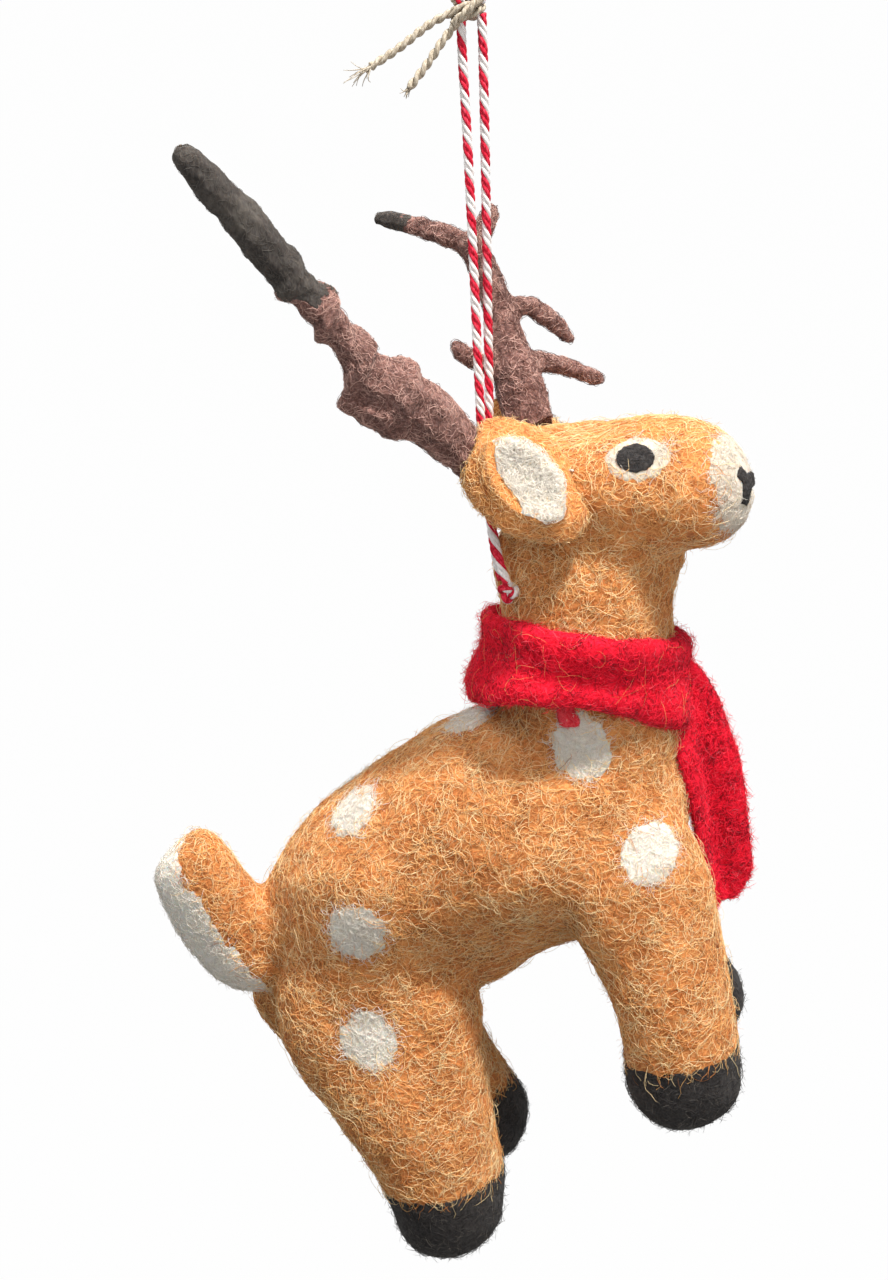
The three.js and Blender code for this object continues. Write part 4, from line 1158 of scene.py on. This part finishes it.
creams = [add_patch("muzzle", coat, CREAM, "white_wool", ["head"], margin=0, rough=1.1 * MM, soft=1.0 * MM)]
tail_neighbours = ["tail_top", "torso", "right_rear_leg", "left_rear_leg"]
whites = [
    add_patch("tail_underside", coat, WHITE, "white_wool", tail_neighbours, margin=1.6 * MM, rough=0.8 * MM),
]
for spot in SPOTS:
    whites.append(add_patch(spot, coat, WHITE, "white_wool", rough=0.45 * MM, soft=0.6 * MM))
blacks = []
for leg in LEGS:
    hoof = add_patch(leg + "_hoof", coat, BLACK, "black_wool", [leg + "_leg"], margin=0, rough=0.6 * MM)
    blacks.append(hoof)
for side in SIDES:
    creams.append(add_patch(side + "_eye_patch", coat, CREAM, "white_wool", shift=EYE_SHIFT))
features = []
for node, shift in (("right_pupil", EYE_SHIFT), ("left_pupil", EYE_SHIFT), ("nose", np.zeros(3))):
    _, feature = felt_over(
        node + "_felt", [node], BLACK, "black_wool", voxel=0.14 * MM, passes=6, lumps=[(1.2, 0.1)],
        replaces=[node], sculpt=pressed_flat(coat, shift))
    features.append(feature)

ears, linings = [], []
for side in SIDES:
    ear_nodes = [side + "_ear", side + "_ear_lining"]
    _, ear = felt_over(
        side + "_ear_felt", ear_nodes, COAT, "coat_wool", voxel=0.35 * MM, passes=22,
        lumps=[(4, 0.25), (1.8, 0.08)], replaces=[side + "_ear"], sculpt=sculpt_ear)
    ears.append(ear)
    linings.append(add_patch(
        side + "_ear_lining", ear, WHITE, "white_wool", lift=0.3 * MM, margin=-0.7 * MM, rough=0.2 * MM,
        soft=0.8 * MM, shift=LINING_SHIFT, ahead=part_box(side + "_ear")[1][0] - LINING_SETBACK))

antlers, tips = [], []
for side, brown, dark, settle, sculpt, slant in (
    ("right", ["right_antler_beam", "right_antler_lobe"], "right_antler_tip", 0.3 * MM, sculpt_right_antler,
     (2.4 * MM, 0, 0.6 * MM)),
    ("left", ["left_antler_beam", *LEFT_TINES], "left_antler_back_tip", 0.5 * MM, sculpt_left_antler,
     (0, 0, 0)),
):
    _, antler = felt_over(
        side + "_antler_felt", [*brown, dark], ANTLER, "antler_wool", grow=0.2 * MM, voxel=0.28 * MM,
        passes=8, lumps=[(3.0, 0.3), (1.2, 0.18)], replaces=brown, settle=settle,
        sculpt=sculpt)
    antlers.append(antler)
    tips.append(add_patch(dark, antler, ANTLER_TIP, "antler_tip_wool", brown, lift=0.08 * MM, margin=0,
                          rough=0.9 * MM, slant=slant))
    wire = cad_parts[side + "_antler_wire"].data
    wire.materials.clear()
    wire.materials.append(grained_material("wire", [(120, 120, 122), (170, 171, 174)], **WIRE))

wrap = scarf_ring(coat)
end = scarf_end()
tuck = scarf_tuck(coat)

# Fuzz
HALO = {"loose": True, "radius": 0.018}
patched = whites + creams + blacks + features
for tone, fibre, curl, clump in (
    ("cream", "pale", 2.4, 0.9), ("pale", "pale", 3.2, 0.9), ("blond", "pale", 4.0, 0.4),
    ("gold", "gold", 2.2, 0.4), ("amber", "gold", 2.8, 0), ("ochre", "gold", 3.6, -0.4),
    ("orange", "orange", 2.4, -0.8), ("rust", "orange", 3.2, -0.8),
):
    add_fuzz(f"coat_fuzz_{tone}", [coat], 12000, fibre, curl=curl, comb=BODY_AXIS, clear=patched, clump=clump)
# Brown fibres between the tufts: partly the wool's own darker fibres, partly painted shade in the gaps
# between the tufts.
add_fuzz("coat_fuzz_brown", [coat], 4000, "brown", curl=2.6, clear=patched, clump=-1)
add_fuzz("coat_fuzz_loops", [coat], 4000, "pale", (3, 6), (0.3, 0.9), curl=4.2, clear=patched, radius=0.024)
add_fuzz("coat_fuzz_halo", [coat], 9000, "gold", (1.0, 2.4), (0.3, 1.1), clear=patched, **HALO)
add_fuzz("ear_fuzz", ears, 4600, "gold", (1.2, 2.6), clear=linings)
add_fuzz("ear_fuzz_pale", ears, 3000, "pale", (1.0, 2.0), (0.3, 0.8), loose=True, clear=linings, radius=0.024)
add_fuzz("white_fuzz", whites, 9000, "white", (1, 2.8), (0.1, 0.36), radius=0.026, curl=3.5, over=coat)
add_fuzz("white_halo", whites + creams, 3500, "white", (1, 2), (0.2, 0.8), over=coat, clear=features,
         away=0.8, **HALO)
add_fuzz("cream_fuzz", creams, 3000, "cream", (1, 2.6), (0.1, 0.34), radius=0.026, curl=3.5, over=coat,
         clear=features, away=1.0)
add_fuzz("lining_fuzz", linings, 4000, "white", (1, 2.6), (0.05, 0.5), radius=0.026, curl=3.5)
add_fuzz("black_fuzz", blacks, 5000, "black", (1, 2.4), (0.12, 0.4), over=coat)
add_fuzz("black_halo", blacks, 3000, "grey", (1, 2.2), (0.3, 1.0), over=coat, **HALO)
add_fuzz("feature_fuzz", features, 700, "black", (0.6, 1.3), (0.02, 0.12), radius=0.024)
# Both antlers are the same wool: the right one gets more of the light rose fibres and the left one more of
# the dark umber ones, which is painted light on the right antler and painted shade on the left. The rose
# fibres are partly the wool's lighter fibres and partly painted highlight.
for side, antler, rose, umber in zip(SIDES, antlers, (5000, 2200), (1800, 3200)):
    add_fuzz(side + "_antler_fuzz_rose", [antler], rose, "rose", (1.2, 2.6), (0.02, 0.12), radius=0.027,
             clear=tips, clump=1)
    add_fuzz(side + "_antler_fuzz_umber", [antler], umber, "umber", (1.2, 2.8), (0.03, 0.25), radius=0.027,
             clear=tips)
add_fuzz("antler_tip_fuzz", tips, 700, "grey", (1, 2.2), (0.01, 0.1), radius=0.025)

wrap_skins, end_skins, tuck_skins = ([skin_of(obj.data, "scarf_felt")] for obj in (wrap, end, tuck))
wrap_fuzz = scarf_fuzz("scarf_wrap", wrap_skins, red=6000, crimson=3400, pink=2000, halo=6200)
wrap_fuzz += [
    add_fuzz("scarf_wrap_strays", wrap_skins, 300, "gold", (2.5, 5.5), (0.1, 0.5), curl=3, radius=0.013),
    add_fuzz("scarf_tuck_fuzz", tuck_skins, 160, "pink", (0.8, 1.6), radius=0.025),
]
end_fuzz = scarf_fuzz("scarf_end", end_skins, red=4200, crimson=3000, pink=1200, halo=4500, body=None)
for obj in (end, *end_fuzz):
    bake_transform(obj)

make_stage()
